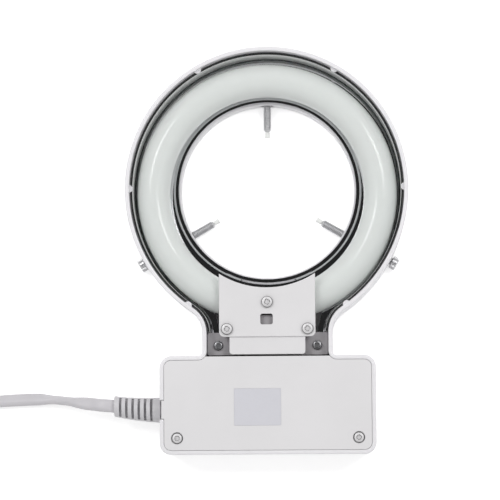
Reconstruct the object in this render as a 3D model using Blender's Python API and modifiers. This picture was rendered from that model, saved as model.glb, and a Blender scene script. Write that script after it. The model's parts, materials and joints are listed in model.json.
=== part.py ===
"""A fluorescent ring light for a stereo microscope, piece by piece.

The ring lies on its back with the lamp side up. Lengths are metres, +Z is up, +Y points from
the ballast box to the ring. Places below are written from the ring's own centre, on the back
face. The empty called ring_light carries every piece and shifts them all, so that the world
origin is under the middle of the light.
"""
import math

import bmesh
import bpy
from mathutils import Matrix, Vector

# Clearances
GAP = 0.0003
STICKER_GAP = 0.0002
OVERRUN = 0.002
SINK = 0.0005
WELD = 0.000001
EDGE_BREAK = 0.0003

# Ring and keyhole outline
RING_RADIUS = 0.0655
RING_FLARE = 0.0024
FLARE_START = math.radians(20)
NECK_HALF_WIDTH = 0.0300
NECK_FILLET = 0.0120
SHOULDER_FILLET = 0.0020
BOX_HALF_WIDTH = 0.0498
BOX_CLEAR_OF_RING = 0.0125
BOX_LENGTH = 0.0454
BOX_CORNER = 0.0053
BOX_NEAR = RING_RADIUS + BOX_CLEAR_OF_RING
BOX_FAR = BOX_NEAR + BOX_LENGTH

# Housing shell
HOUSING_HEIGHT = 0.0300
HOUSING_WALL = 0.0019
FLOOR_THICKNESS = 0.0022
RIM_OUTER_ROUND = 0.0007
RIM_INNER_ROUND = 0.0006
FOOT_CHAMFER = 0.0008
CHANNEL_WIDTH = 0.0247
BORE_RADIUS = RING_RADIUS - CHANNEL_WIDTH
BORE_WALL = 0.0020
BORE_CHAMFER = 0.0004
LUG_RADIUS = 0.0018
LUG_REACH = 0.0015
LUG_HEIGHT = 0.0014
LUG_CLEARANCE = 0.0005
LUG_ANGLES = tuple(math.radians(a) for a in (0, 60, 120, 180, 236, 304))

# Objective clamp: three thumbscrews in threaded inserts
SCREW_ANGLES = {"top": math.radians(90), "left": math.radians(210), "right": math.radians(330)}
THREAD_RADIUS = 0.00193
THREAD_PITCH = 0.0007
SCREW_REACH = 0.0403
SCREW_CONE = 0.0010
SCREW_NECK_RADIUS = 0.00115
KNOB_RADIUS = 0.00315
KNOB_LENGTH = 0.0030
KNOB_SEAT_GAP = 0.0005
KNOB_RIDGES = 12
KNOB_GROOVE = 0.00042
KNOB_CHAMFER = 0.0004
KNOB_FLOOR_CLEARANCE = 0.00145
TIP_RADIUS = 0.00105
TIP_FLARE_RADIUS = 0.00118
TIP_LENGTH = 0.0029
TIP_STEM_RADIUS = 0.00055
TIP_STEM_LENGTH = 0.0022
INSERT_RADIUS = 0.00295
INSERT_LENGTH = 0.0060
INSERT_RECESS = 0.0002
INSERT_GROOVE = 0.0004
BOSS_WALL = 0.0008
SHANK_HOLE_RADIUS = 0.0026

SCREW_HEIGHT = KNOB_RADIUS + KNOB_FLOOR_CLEARANCE
INSERT_BOSS_RADIUS = INSERT_RADIUS + BOSS_WALL
BORE_WALL_TOP = SCREW_HEIGHT + INSERT_BOSS_RADIUS + GAP

# Reflector tray
REFLECTOR_SHEET = 0.0009
REFLECTOR_DROP = 0.0047
REFLECTOR_PAST_RING = 0.0013
REFLECTOR_COVE = 0.0012
REFLECTOR_FOOT = 0.0006
LIP_SETBACK = 0.0008
LIP_WIDTH = 0.0026
LIP_HEIGHT = 0.0017
CUTOUT_HALF_WIDTH = 0.0272
CUTOUT_TAPER = 0.0046
CUTOUT_DEPTH = 0.0191
CUTOUT_NEAR = RING_RADIUS - CUTOUT_DEPTH
REFLECTOR_END = RING_RADIUS + REFLECTOR_PAST_RING
REFLECTOR_FLOOR = BORE_WALL_TOP + GAP
REFLECTOR_TOP = REFLECTOR_FLOOR + REFLECTOR_SHEET
REFLECTOR_RIM = HOUSING_HEIGHT - REFLECTOR_DROP

# Lamp
LAMP_DROP = 0.00445
TUBE_SIDE_GAP = 0.0018
TUBE_LIP_GAP = 0.0010
LAMP_OFFSET = 0.0020
TUBE_END_INSET = 0.0040
BASE_HALF_WIDTH = 0.0205
BASE_SETBACK = 0.0185
BASE_DEPTH = 0.0115
BASE_ROUND = 0.0012
PIN_RADIUS = 0.0010
PIN_LENGTH = 0.0055
PIN_SPACING = 0.0090
PIN_ROW = 0.0050
BASE_INNER = RING_RADIUS - BASE_SETBACK
TUBE_INNER_LIMIT = BORE_RADIUS + LIP_SETBACK + LIP_WIDTH + TUBE_LIP_GAP
TUBE_OUTER_LIMIT = RING_RADIUS - HOUSING_WALL - GAP - REFLECTOR_SHEET - TUBE_SIDE_GAP
TUBE_RADIUS = min(
    TUBE_OUTER_LIMIT - TUBE_INNER_LIMIT,
    HOUSING_HEIGHT - LAMP_DROP - REFLECTOR_TOP - GAP) / 2
TUBE_CENTRE_RADIUS = (TUBE_OUTER_LIMIT + TUBE_INNER_LIMIT) / 2
TUBE_HEIGHT = REFLECTOR_TOP + GAP + TUBE_RADIUS
BASE_OUTER = BASE_INNER + BASE_DEPTH
BASE_CENTRE = BASE_INNER + BASE_DEPTH / 2

# Retaining plate over the lamp base
PLATE_HALF_WIDTH = 0.0222
PLATE_THICKNESS = 0.0016
PLATE_DROP = 0.0002
PLATE_ARC_PLAY = 0.0002
PLATE_SETBACK = 0.0189
PLATE_PAST_RING = 0.0038
PLATE_CORNER = 0.0023
PLATE_EDGE = 0.0003
WINDOW_HALF_WIDTH = 0.0028
WINDOW_HALF_HEIGHT = 0.0025
WINDOW_BULGE = 0.0006
WINDOW_SETBACK = 0.0045
TONGUE_HALF_WIDTH = 0.0175
TONGUE_SHORT_OF_BOX = 0.0006
TONGUE_THICKNESS = 0.0022
TONGUE_DROP = 0.0011
TONGUE_CORNER = 0.0014
PLATE_SCREW_X = 0.0186
PLATE_SCREW_PAST_RING = 0.0002
PLATE_MIDDLE_SCREW_SETBACK = 0.0122
PLATE_ARC_RADIUS = BORE_RADIUS + PLATE_ARC_PLAY
PLATE_ARC_LOW = RING_RADIUS - PLATE_SETBACK
PLATE_END = RING_RADIUS + PLATE_PAST_RING
PLATE_SCREW_Y = RING_RADIUS + PLATE_SCREW_PAST_RING
PLATE_MIDDLE_SCREW_Y = RING_RADIUS - PLATE_MIDDLE_SCREW_SETBACK
WINDOW_Y = RING_RADIUS - WINDOW_SETBACK
TONGUE_END = BOX_NEAR - TONGUE_SHORT_OF_BOX
PLATE_TOP = HOUSING_HEIGHT - PLATE_DROP
PLATE_BOTTOM = PLATE_TOP - PLATE_THICKNESS
TONGUE_TOP = PLATE_TOP - TONGUE_DROP
TONGUE_BOTTOM = TONGUE_TOP - TONGUE_THICKNESS
BASE_TOP = PLATE_BOTTOM - GAP

# Lamp holder with its two ears
HOLDER_HALF_WIDTH = 0.0152
RISER_SETBACK = 0.0063
SOCKET_SETBACK = 0.0180
EAR_THICKNESS = 0.0024
EAR_DROP = 0.0076
EAR_SHORT_OF_BOX = 0.0005
EAR_SCREW_X = 0.0229
EAR_SCREW_SHORT_OF_BOX = 0.0049
HOLDER_RISER_NEAR = RING_RADIUS - RISER_SETBACK
HOLDER_NEAR = RING_RADIUS - SOCKET_SETBACK
HOLDER_END = BOX_NEAR - EAR_SHORT_OF_BOX
EAR_SCREW_Y = BOX_NEAR - EAR_SCREW_SHORT_OF_BOX
EAR_TOP = HOUSING_HEIGHT - EAR_DROP
HOLDER_TOP = TONGUE_BOTTOM - GAP
HOLDER_FLOOR = FLOOR_THICKNESS + GAP
SOCKET_TOP = REFLECTOR_TOP

# Screws and their posts
PAN_HEAD_RADIUS = 0.00265
PAN_HEAD_HEIGHT = 0.0014
PAN_SHANK_RADIUS = 0.0012
PAN_SHANK_LENGTH = 0.0085
EAR_HEAD_RADIUS = 0.0022
EAR_HEAD_HEIGHT = 0.0013
COVER_HEAD_RADIUS = 0.00245
COVER_HEAD_HEIGHT = 0.0012
RECESS_RADIUS = 0.0012
RECESS_DEPTH = 0.0008
POST_RADIUS = 0.0026
POST_HOLE_DEPTH = 0.0100

# Box cover and label
COVER_THICKNESS = 0.0022
COVER_DROP = 0.0002
COVER_EDGE = 0.0003
COVER_SCREW_SIDE_INSET = 0.0080
COVER_SCREW_END_INSET = 0.0076
COUNTERBORE_DEPTH = 0.0011
COUNTERBORE_CLEARANCE = 0.00035
COVER_REST_SIDE_INSET = 0.0056
COVER_REST_INSET = 0.0070
LABEL_HALF_WIDTH = 0.01115
LABEL_HALF_HEIGHT = 0.00875
LABEL_X = -0.0047
LABEL_INSET = 0.0236
LABEL_POCKET = 0.0005
LABEL_CORNER = 0.0006
COVER_NEAR = BOX_NEAR + GAP
COVER_SCREW_X = BOX_HALF_WIDTH - COVER_SCREW_SIDE_INSET
COVER_SCREW_Y = BOX_FAR - COVER_SCREW_END_INSET
COVER_REST_X = BOX_HALF_WIDTH - COVER_REST_SIDE_INSET
COVER_REST_Y = BOX_NEAR + COVER_REST_INSET
LABEL_Y = BOX_NEAR + LABEL_INSET
COVER_TOP = HOUSING_HEIGHT - COVER_DROP
COVER_BOTTOM = COVER_TOP - COVER_THICKNESS

# Strain relief in the box's left wall
RELIEF_INSET = 0.0246
RELIEF_Y = BOX_NEAR + RELIEF_INSET
RELIEF_HEIGHT = 0.0150
RELIEF_ROOT_RADIUS = 0.00585
RELIEF_END_RADIUS = 0.0048
RELIEF_LENGTH = 0.0211
RELIEF_COLLAR = 0.0036
RELIEF_SLOTS = 6
RELIEF_SLOT_PITCH = 0.0029
RELIEF_SLOT_WIDTH = 0.0010
RELIEF_WEB = 0.0009
RELIEF_CORE_HALF = 0.0016
RELIEF_BEND = math.radians(5)
RELIEF_NECK_RADIUS = 0.0042
RELIEF_FLANGE_RADIUS = 0.0057
RELIEF_FLANGE = 0.0020
SLOT_RADIUS = RELIEF_NECK_RADIUS + GAP
TAB_REACH = 0.0011

# Cord, coil and plug
CORD_RADIUS = 0.0030
CORD_ROUTE_FROM_RELIEF = (
    (-0.0295, 0.0026, 0.0143),
    (-0.0370, 0.0035, 0.0112),
    (-0.0442, 0.0045, 0.0070),
    (-0.0517, 0.0053, 0.0038),
    (-0.0597, 0.0056, 0.00305),
    (-0.0692, 0.0053, 0.00305),
    (-0.0832, 0.0046, 0.00305),
    (-0.0982, 0.0046, 0.00305),
    (-0.1122, 0.00525, 0.00305),
)
CORD_FIRST_RISE = 0.0005
CORD_POINT_STEP = 0.0070
COIL_FROM_BOX = 0.1302
COIL_FROM_RELIEF = 0.0506
COIL_X = -BOX_HALF_WIDTH - COIL_FROM_BOX
COIL_Y = COIL_FROM_RELIEF - RELIEF_Y
COIL_INNER = 0.0255
COIL_PITCH = 0.0065
COIL_LAYER = 0.0066
COIL_TURNS_IN = 3.0
COIL_TURNS_OUT = 2.75
COIL_CLIMB_TURNS = 0.5
COIL_POINTS = 24
COIL_LEAD_IN = 0.0060
CORD_REST_HEIGHT = 0.00305
TAIL_ROUTE = (
    (0.0, 0.0180, 0.00965),
    (0.0001, 0.0300, 0.00945),
    (0.0002, 0.0420, 0.0085),
    (0.0002, 0.0520, 0.0075),
)
PLUG_DISTANCE = 0.0600
PLUG_HALF_HEIGHT = 0.00685
PLUG_REST = 0.0002
PLUG_LENGTH = 0.0360
PLUG_PIN_RADIUS = 0.0020
PLUG_PIN_LENGTH = 0.0190
PLUG_PIN_SPACING = 0.0186
PLUG_PIN_INSET = 0.0030
PLUG_HALF_WIDTH = 0.0176
PLUG_LENGTH_SHARES = (0, 0.16, 0.34, 0.46, 0.70, 0.95, 1)
PLUG_WIDTH_SHARES = (0.26, 0.28, 0.34, 0.60, 0.82, 1, 0.96)
PLUG_HEIGHT_SHARES = (0.64, 0.70, 0.78, 0.97, 1, 1, 0.92)
PLUG_SIDES = 16

# Ballast board and its components
BOARD_X = 0.0115
BOARD_INSET = 0.0210
BOARD_SIDE_ROOM = 0.0208
BOARD_LAYOUT_HALF_LENGTH = 0.0290
BOARD_Y = BOX_NEAR + BOARD_INSET
BOARD_HALF_LENGTH = BOX_HALF_WIDTH - BOARD_SIDE_ROOM
BOARD_STRETCH = BOARD_HALF_LENGTH / BOARD_LAYOUT_HALF_LENGTH
BOARD_HALF_WIDTH = 0.0140
BOARD_THICKNESS = 0.0016
BOARD_STANDOFF = 0.0050
BOARD_SCREW_INSET = 0.0035
BOARD_POST_RADIUS = 0.0028
BOARD_HEAD_RADIUS = 0.0024
BOARD_HEAD_HEIGHT = 0.0016
BOARD_SHANK_LENGTH = 0.0045
BOARD_BOTTOM = FLOOR_THICKNESS + BOARD_STANDOFF
BOARD_TOP = BOARD_BOTTOM + BOARD_THICKNESS
CHOKE_UNDER_COVER = 0.0038
TRANSISTOR_UNDER_COVER = 0.0083
COVER_OVER_BOARD = COVER_BOTTOM - BOARD_TOP
CHOKE_AT = (-0.0055, 0)
CHOKE_SIZE = (0.0160 * BOARD_STRETCH, 0.0130, COVER_OVER_BOARD - CHOKE_UNDER_COVER)
CHOKE_FLANGE = 0.0012
RESERVOIR_AT = (0.0190, 0.0035)
RESERVOIR_RADIUS = 0.0050 * BOARD_STRETCH
RESERVOIR_HEIGHT = COVER_OVER_BOARD - CHOKE_UNDER_COVER
FILM_SIZE = (0.0100 * BOARD_STRETCH, 0.0040, 0.0075)
FILM_AT = {"film_capacitor_1": (0.0080, 0.0080), "film_capacitor_2": (0.0080, -0.0055)}
TRANSISTOR_SIZE = (0.0078 * BOARD_STRETCH, 0.0027, COVER_OVER_BOARD - TRANSISTOR_UNDER_COVER)
TRANSISTOR_AT = {"transistor_1": (0.0085, -0.0100), "transistor_2": (0.0175, -0.0100)}
FUSE_AT = (-0.0210, 0.0030)
FUSE_RADIUS = 0.0018
FUSE_LENGTH = 0.0070 * BOARD_STRETCH

# Power switch in a well in the back
SWITCH_SIDE_INSET = 0.0218
SWITCH_END_INSET = 0.0104
SWITCH_X = SWITCH_SIDE_INSET - BOX_HALF_WIDTH
SWITCH_Y = BOX_FAR - SWITCH_END_INSET
WELL_DEPTH = 0.0036
WELL_HALF_LENGTH = 0.0092
WELL_HALF_WIDTH = 0.0072
WELL_WALL = 0.0020
BEZEL_HALF_LENGTH = 0.0082
BEZEL_HALF_WIDTH = 0.0062
BEZEL_HEIGHT = 0.0012
SWITCH_BODY_HALF_LENGTH = 0.0068
SWITCH_BODY_HALF_WIDTH = 0.0048
SWITCH_BODY_HEIGHT = 0.0095
ROCKER_HALF_LENGTH = 0.0052
ROCKER_HALF_WIDTH = 0.0034
ROCKER_REST_TILT = math.radians(9)
ROCKER_DISH = 0.0006
ROCKER_ARM = 0.0018
ROCKER_BACK = 0.0012
ROCKER_KEEL = 0.0020
ROCKER_PIVOT_ABOVE_BEZEL = 0.0012
ROCKER_PIN_RADIUS = 0.0008
ROCKER_PIN_REACH = 0.0010
ROCKER_SWEEP_ROOM = 0.0026
TERMINAL_SIZE = (0.0008, 0.0040, 0.0060)
TERMINAL_SPACING = 0.0070
WELL_TOP = WELL_DEPTH + WELL_WALL
BEZEL_TOP = WELL_DEPTH - GAP
BEZEL_BOTTOM = BEZEL_TOP - BEZEL_HEIGHT
ROCKER_AXIS_Z = BEZEL_TOP + ROCKER_PIVOT_ABOVE_BEZEL
SWITCH_BODY_TOP = BEZEL_TOP + SWITCH_BODY_HEIGHT

# Wires and cord clamp inside the box
WIRE_RADIUS = 0.0009
WIRE_SPREAD = 0.0012
WIRE_LEAD = 0.0035
WIRE_RISE = 0.0015
WIRE_LANDING = 0.0035
LAMP_WIRE_SPACING = 0.0029
LAMP_WIRE_HEIGHT = 0.0042
CLAMP_LENGTH = 0.0060
CLAMP_HALF_WIDTH = 0.0085
CLAMP_THICKNESS = 0.0020
CLAMP_INSET = 0.0113
CLAMP_X = CLAMP_INSET - BOX_HALF_WIDTH
CLAMP_SCREW_Y = 0.0062
CLAMP_HEAD_RADIUS = 0.0023
CLAMP_HEAD_HEIGHT = 0.0014
JACKET_LENGTH = 0.0130

# Facets
ROUND_STEPS = 72
SMALL_STEPS = 12
SCREW_STEPS = 12
RELIEF_STEPS = 16
RING_STEPS = 12
FLARE_STEPS = 14
FILLET_STEPS = 4
CORNER_STEPS = 3
TUBE_STEPS = 44
ROUTE_STEPS = 20

KNOB_OUT = RING_RADIUS + KNOB_SEAT_GAP + KNOB_LENGTH
CENTRE_SHIFT = (BOX_FAR - KNOB_OUT) / 2

PARTS = None
CUTTERS = None
CARRIER = None


# Scene and materials

def clear_scene():
    """Remove what the file holds, and its unused data."""
    for old in list(bpy.data.objects):
        bpy.data.objects.remove(old, do_unlink=True)
    for group in list(bpy.data.collections):
        bpy.data.collections.remove(group)


def make_collections():
    """Make the collection of pieces, the one of cutters, and the empty that carries them."""
    global PARTS, CUTTERS, CARRIER
    PARTS = bpy.data.collections.new("microscope_ring_light")
    CUTTERS = bpy.data.collections.new("cutters")
    bpy.context.scene.collection.children.link(PARTS)
    bpy.context.scene.collection.children.link(CUTTERS)
    CARRIER = bpy.data.objects.new("ring_light", None)
    CARRIER.location = (0, CENTRE_SHIFT, 0)
    PARTS.objects.link(CARRIER)


def material(name, colour, roughness, metallic=0.0):
    """A Principled material, made once for each name."""
    found = bpy.data.materials.get(name)
    if found:
        return found
    made = bpy.data.materials.new(name)
    made.use_nodes = True
    shader = made.node_tree.nodes["Principled BSDF"]
    shader.inputs["Base Color"].default_value = (*colour, 1.0)
    shader.inputs["Roughness"].default_value = roughness
    shader.inputs["Metallic"].default_value = metallic
    made.diffuse_color = (*colour, 1.0)
    return made


FINISHES = {
    "white_housing": ((0.86, 0.85, 0.87), 0.35, 0.0),
    "white_cover": ((0.80, 0.79, 0.81), 0.4, 0.0),
    "reflector_metal": ((0.62, 0.63, 0.62), 0.12, 1.0),
    "lamp_glass": ((0.80, 0.83, 0.82), 0.25, 0.0),
    "grey_holder": ((0.28, 0.27, 0.28), 0.45, 0.0),
    "screw_steel": ((0.66, 0.66, 0.68), 0.3, 1.0),
    "dark_screw": ((0.10, 0.10, 0.11), 0.35, 1.0),
    "brass": ((0.72, 0.55, 0.28), 0.3, 1.0),
    "nylon": ((0.85, 0.86, 0.84), 0.4, 0.0),
    "cord_grey": ((0.62, 0.61, 0.63), 0.5, 0.0),
    "relief_grey": ((0.60, 0.59, 0.62), 0.5, 0.0),
    "board_green": ((0.06, 0.22, 0.12), 0.5, 0.0),
    "black_plastic": ((0.03, 0.03, 0.03), 0.4, 0.0),
    "ferrite": ((0.10, 0.10, 0.11), 0.6, 0.0),
    "film_red": ((0.45, 0.10, 0.06), 0.4, 0.0),
    "label_paper": ((0.72, 0.72, 0.78), 0.5, 0.0),
    "wire_white": ((0.80, 0.80, 0.78), 0.5, 0.0),
    "wire_brown": ((0.20, 0.09, 0.05), 0.5, 0.0),
}


def finish(name):
    """The named finish as a material."""
    colour, roughness, metallic = FINISHES[name]
    return material(name, colour, roughness, metallic)


# Meshes and objects

def mesh_from(bm, name):
    """Turn a bmesh into a mesh with its faces pointing out."""
    bmesh.ops.recalc_face_normals(bm, faces=bm.faces)
    mesh = bpy.data.meshes.new(name)
    bm.to_mesh(mesh)
    bm.free()
    return mesh


def shade(mesh):
    """Smooth the round faces and keep the sharp edges."""
    mesh.shade_smooth()
    mesh.set_sharp_from_angle(angle=math.radians(30))


def add_part(name, mesh, finish_name, pivot=None):
    """Link a piece to the carrier, with its origin at pivot if it has one."""
    shade(mesh)
    made = bpy.data.objects.new(name, mesh)
    mesh.materials.append(finish(finish_name))
    if pivot is not None:
        mesh.transform(Matrix.Translation(-Vector(pivot)))
        made.location = pivot
    made.parent = CARRIER
    PARTS.objects.link(made)
    return made


def add_cutter(name, mesh):
    """Link a shape that only cuts or joins."""
    made = bpy.data.objects.new(name, mesh)
    made.parent = CARRIER
    made.hide_render = True
    made.display_type = "WIRE"
    CUTTERS.objects.link(made)
    return made


def boolean(target, cutter, operation="DIFFERENCE"):
    """Join the cutter to the target, or cut it out."""
    step = target.modifiers.new(cutter.name, "BOOLEAN")
    step.operation = operation
    step.solver = "EXACT"
    step.object = cutter


def bevel_edges(target, width, segments=2):
    """Round the sharp edges of a simple solid."""
    step = target.modifiers.new("rounded_edges", "BEVEL")
    step.width = width
    step.segments = segments
    step.limit_method = "ANGLE"
    step.angle_limit = math.radians(40)


def evaluated_mesh(source, name):
    """The mesh of an object as its modifiers leave it, welded; the object is removed."""
    bpy.context.view_layer.update()
    graph = bpy.context.evaluated_depsgraph_get()
    mesh = bpy.data.meshes.new_from_object(source.evaluated_get(graph))
    mesh.transform(source.matrix_world)
    bpy.data.objects.remove(source, do_unlink=True)
    bm = bmesh.new()
    bm.from_mesh(mesh)
    bpy.data.meshes.remove(mesh)
    bmesh.ops.remove_doubles(bm, verts=bm.verts, dist=WELD)
    return mesh_from(bm, name)


def add_cylinder(bm, radius, start, end, segments=SMALL_STEPS, far_radius=None):
    """Add a capped cylinder, or a cone, from one point to another."""
    start, end = Vector(start), Vector(end)
    axis = end - start
    turn = axis.to_track_quat("Z", "Y").to_matrix().to_4x4()
    place = Matrix.Translation((start + end) / 2) @ turn
    bmesh.ops.create_cone(
        bm, cap_ends=True, segments=segments, radius1=radius,
        radius2=radius if far_radius is None else far_radius, depth=axis.length, matrix=place)


def add_box(bm, low, high):
    """Add a box between two corners."""
    low, high = Vector(low), Vector(high)
    size = Matrix.Diagonal((*(high - low), 1.0))
    bmesh.ops.create_cube(bm, size=1.0, matrix=Matrix.Translation((low + high) / 2) @ size)


def add_loft(bm, rings):
    """Skin closed rings of equal counts, one to the next, and cap the first and the last."""
    loops = [[bm.verts.new(point) for point in ring] for ring in rings]
    for near, far in zip(loops, loops[1:]):
        for i in range(len(near)):
            j = (i + 1) % len(near)
            bm.faces.new((near[i], near[j], far[j], far[i]))
    bm.faces.new(loops[0])
    bm.faces.new(loops[-1])


def cylinder_mesh(name, radius, start, end, segments=SMALL_STEPS):
    """A mesh that is one cylinder."""
    bm = bmesh.new()
    add_cylinder(bm, radius, start, end, segments)
    return mesh_from(bm, name)


def box_mesh(name, low, high):
    """A mesh that is one box."""
    bm = bmesh.new()
    add_box(bm, low, high)
    return mesh_from(bm, name)


def turned_mesh(name, profile, steps=SMALL_STEPS, closed=False):
    """Spin a profile of (radius, height) points about Z with a Screw modifier."""
    count = len(profile)
    edges = [(i, i + 1) for i in range(count - 1)]
    if closed:
        edges.append((count - 1, 0))
    outline = bpy.data.meshes.new(name)
    outline.from_pydata([(r, 0, z) for r, z in profile], edges, [])
    holder = bpy.data.objects.new(name, outline)
    bpy.context.scene.collection.objects.link(holder)
    screw = holder.modifiers.new("turned", "SCREW")
    screw.steps = steps
    screw.render_steps = steps
    screw.use_merge_vertices = True
    screw.merge_threshold = WELD
    return evaluated_mesh(holder, name)


def aimed(mesh, place, direction):
    """Turn a mesh whose axis is Z to a direction, and move it to its place."""
    turn = Vector(direction).to_track_quat("Z", "Y").to_matrix().to_4x4()
    mesh.transform(Matrix.Translation(Vector(place)) @ turn)
    return mesh


def flat_mesh(name, outline, low, high):
    """Fill a flat outline as a 2D curve and extrude it between two heights."""
    curve = bpy.data.curves.new(name, "CURVE")
    curve.dimensions = "2D"
    curve.fill_mode = "BOTH"
    curve.extrude = (high - low) / 2
    spline = curve.splines.new("POLY")
    spline.points.add(len(outline) - 1)
    for point, (x, y) in zip(spline.points, outline):
        point.co = (x, y, 0, 1)
    spline.use_cyclic_u = True
    holder = bpy.data.objects.new(name, curve)
    holder.location = (0, 0, (low + high) / 2)
    bpy.context.scene.collection.objects.link(holder)
    return evaluated_mesh(holder, name)


def tube_mesh(name, points, radius, resolution=2):
    """A round tube along points, with flat ends."""
    curve = bpy.data.curves.new(name, "CURVE")
    curve.dimensions = "3D"
    curve.bevel_depth = radius
    curve.bevel_resolution = resolution
    curve.use_fill_caps = True
    spline = curve.splines.new("POLY")
    spline.points.add(len(points) - 1)
    for point, place in zip(spline.points, points):
        point.co = (*place, 1)
    holder = bpy.data.objects.new(name, curve)
    bpy.context.scene.collection.objects.link(holder)
    return evaluated_mesh(holder, name)


def smooth_route(route, step):
    """Points at an even step along a Catmull-Rom curve through a route."""
    knots = [Vector(p) for p in route]
    knots = [2 * knots[0] - knots[1]] + knots + [2 * knots[-1] - knots[-2]]
    fine = []
    for a, b, c, d in zip(knots, knots[1:], knots[2:], knots[3:]):
        for i in range(ROUTE_STEPS):
            u = i / ROUTE_STEPS
            fine.append(0.5 * (
                2 * b + (c - a) * u + (2 * a - 5 * b + 4 * c - d) * u * u
                + (3 * b - a - 3 * c + d) * u * u * u))
    fine.append(knots[-2])
    length = sum((q - p).length for p, q in zip(fine, fine[1:]))
    count = max(2, round(length / step))
    picked, run, target = [fine[0]], 0.0, length / count
    for p, q in zip(fine, fine[1:]):
        span = (q - p).length
        while len(picked) < count and run + span >= target * len(picked):
            picked.append(p.lerp(q, (target * len(picked) - run) / span))
        run += span
    picked.append(fine[-1])
    return picked


# Outlines

def arc(x, y, radius, first, last, steps):
    """Points of an arc, both ends included."""
    return [
        (x + radius * math.cos(first + (last - first) * i / steps),
         y + radius * math.sin(first + (last - first) * i / steps))
        for i in range(steps + 1)]


def flare_centre():
    """Centre of the wider arcs that lead from the ring to the neck, on the right side."""
    return -RING_FLARE * math.cos(FLARE_START), -RING_FLARE * math.sin(FLARE_START)


def neck_fillet_centre():
    """Centre of the concave fillet between the flare arc and the neck, on the right side."""
    cx, cy = flare_centre()
    x = NECK_HALF_WIDTH + NECK_FILLET
    reach = RING_RADIUS + RING_FLARE + NECK_FILLET
    return x, cy - math.sqrt(reach ** 2 - (x - cx) ** 2)


def keyhole(inset):
    """The outline of ring, neck and box, moved inwards by inset, clockwise from the top."""
    cx, cy = flare_centre()
    fx, fy = neck_fillet_centre()
    meet = math.atan2(cy - fy, cx - fx)
    right = arc(0, 0, RING_RADIUS - inset, math.pi / 2, FLARE_START, RING_STEPS)
    right += arc(
        cx, cy, RING_RADIUS + RING_FLARE - inset, FLARE_START, meet - math.pi, FLARE_STEPS)[1:]
    right += arc(fx, fy, NECK_FILLET + inset, meet, math.pi, FILLET_STEPS)[1:]
    right += arc(
        NECK_HALF_WIDTH + SHOULDER_FILLET, -BOX_NEAR + SHOULDER_FILLET,
        SHOULDER_FILLET + inset, math.pi, 1.5 * math.pi, CORNER_STEPS)
    corner_x = BOX_HALF_WIDTH - BOX_CORNER
    round_radius = BOX_CORNER - inset
    right += arc(corner_x, -BOX_NEAR - BOX_CORNER, round_radius, math.pi / 2, 0, CORNER_STEPS)
    right += arc(corner_x, -BOX_FAR + BOX_CORNER, round_radius, 0, -math.pi / 2, CORNER_STEPS)
    left = [(-x, y) for x, y in reversed(right[1:])]
    return right + [(0, -BOX_FAR + inset)] + left


def keyhole_ring(inset, height):
    """The keyhole outline at a height, as points in space."""
    return [Vector((x, y, height)) for x, y in keyhole(inset)]


def wall_radius(angle):
    """Distance from the ring's centre to the outer wall in a direction."""
    folded = angle if math.cos(angle) >= 0 else math.pi - angle
    folded = math.atan2(math.sin(folded), math.cos(folded))
    if folded >= FLARE_START:
        return RING_RADIUS
    cx, cy = flare_centre()
    along = cx * math.cos(folded) + cy * math.sin(folded)
    across = cx ** 2 + cy ** 2 - along ** 2
    return along + math.sqrt((RING_RADIUS + RING_FLARE) ** 2 - across)


def toward(angle):
    """Unit vector in the ring's plane."""
    return Vector((math.cos(angle), math.sin(angle), 0))


def rounded_rectangle(x, y, half_width, half_height, radius):
    """Outline of a rectangle with round corners."""
    dx, dy = half_width - radius, half_height - radius
    quarter = math.pi / 2
    corners = ((dx, dy), (-dx, dy), (-dx, -dy), (dx, -dy))
    points = []
    for turn, (cx, cy) in enumerate(corners):
        points += arc(x + cx, y + cy, radius, turn * quarter, (turn + 1) * quarter, CORNER_STEPS)
    return points


def side_pairs(x):
    """The two mirrored places of a piece that comes in a left and a right."""
    return (("left", -x), ("right", x))


# Housing

def housing_mesh():
    """The open tray: outside wall, rounded rim, inside wall and floor, as one loft."""
    round_out, round_in, wall = RIM_OUTER_ROUND, RIM_INNER_ROUND, HOUSING_WALL
    top = HOUSING_HEIGHT
    easing = math.sqrt(0.5)
    levels = (
        (FOOT_CHAMFER, 0),
        (0, FOOT_CHAMFER),
        (0, top - round_out),
        (round_out * (1 - easing), top - round_out * (1 - easing)),
        (round_out, top),
        (wall - round_in, top),
        (wall - round_in * (1 - easing), top - round_in * (1 - easing)),
        (wall, top - round_in),
        (wall, FLOOR_THICKNESS),
    )
    bm = bmesh.new()
    add_loft(bm, [keyhole_ring(inset, height) for inset, height in levels])
    return mesh_from(bm, "housing")


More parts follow.
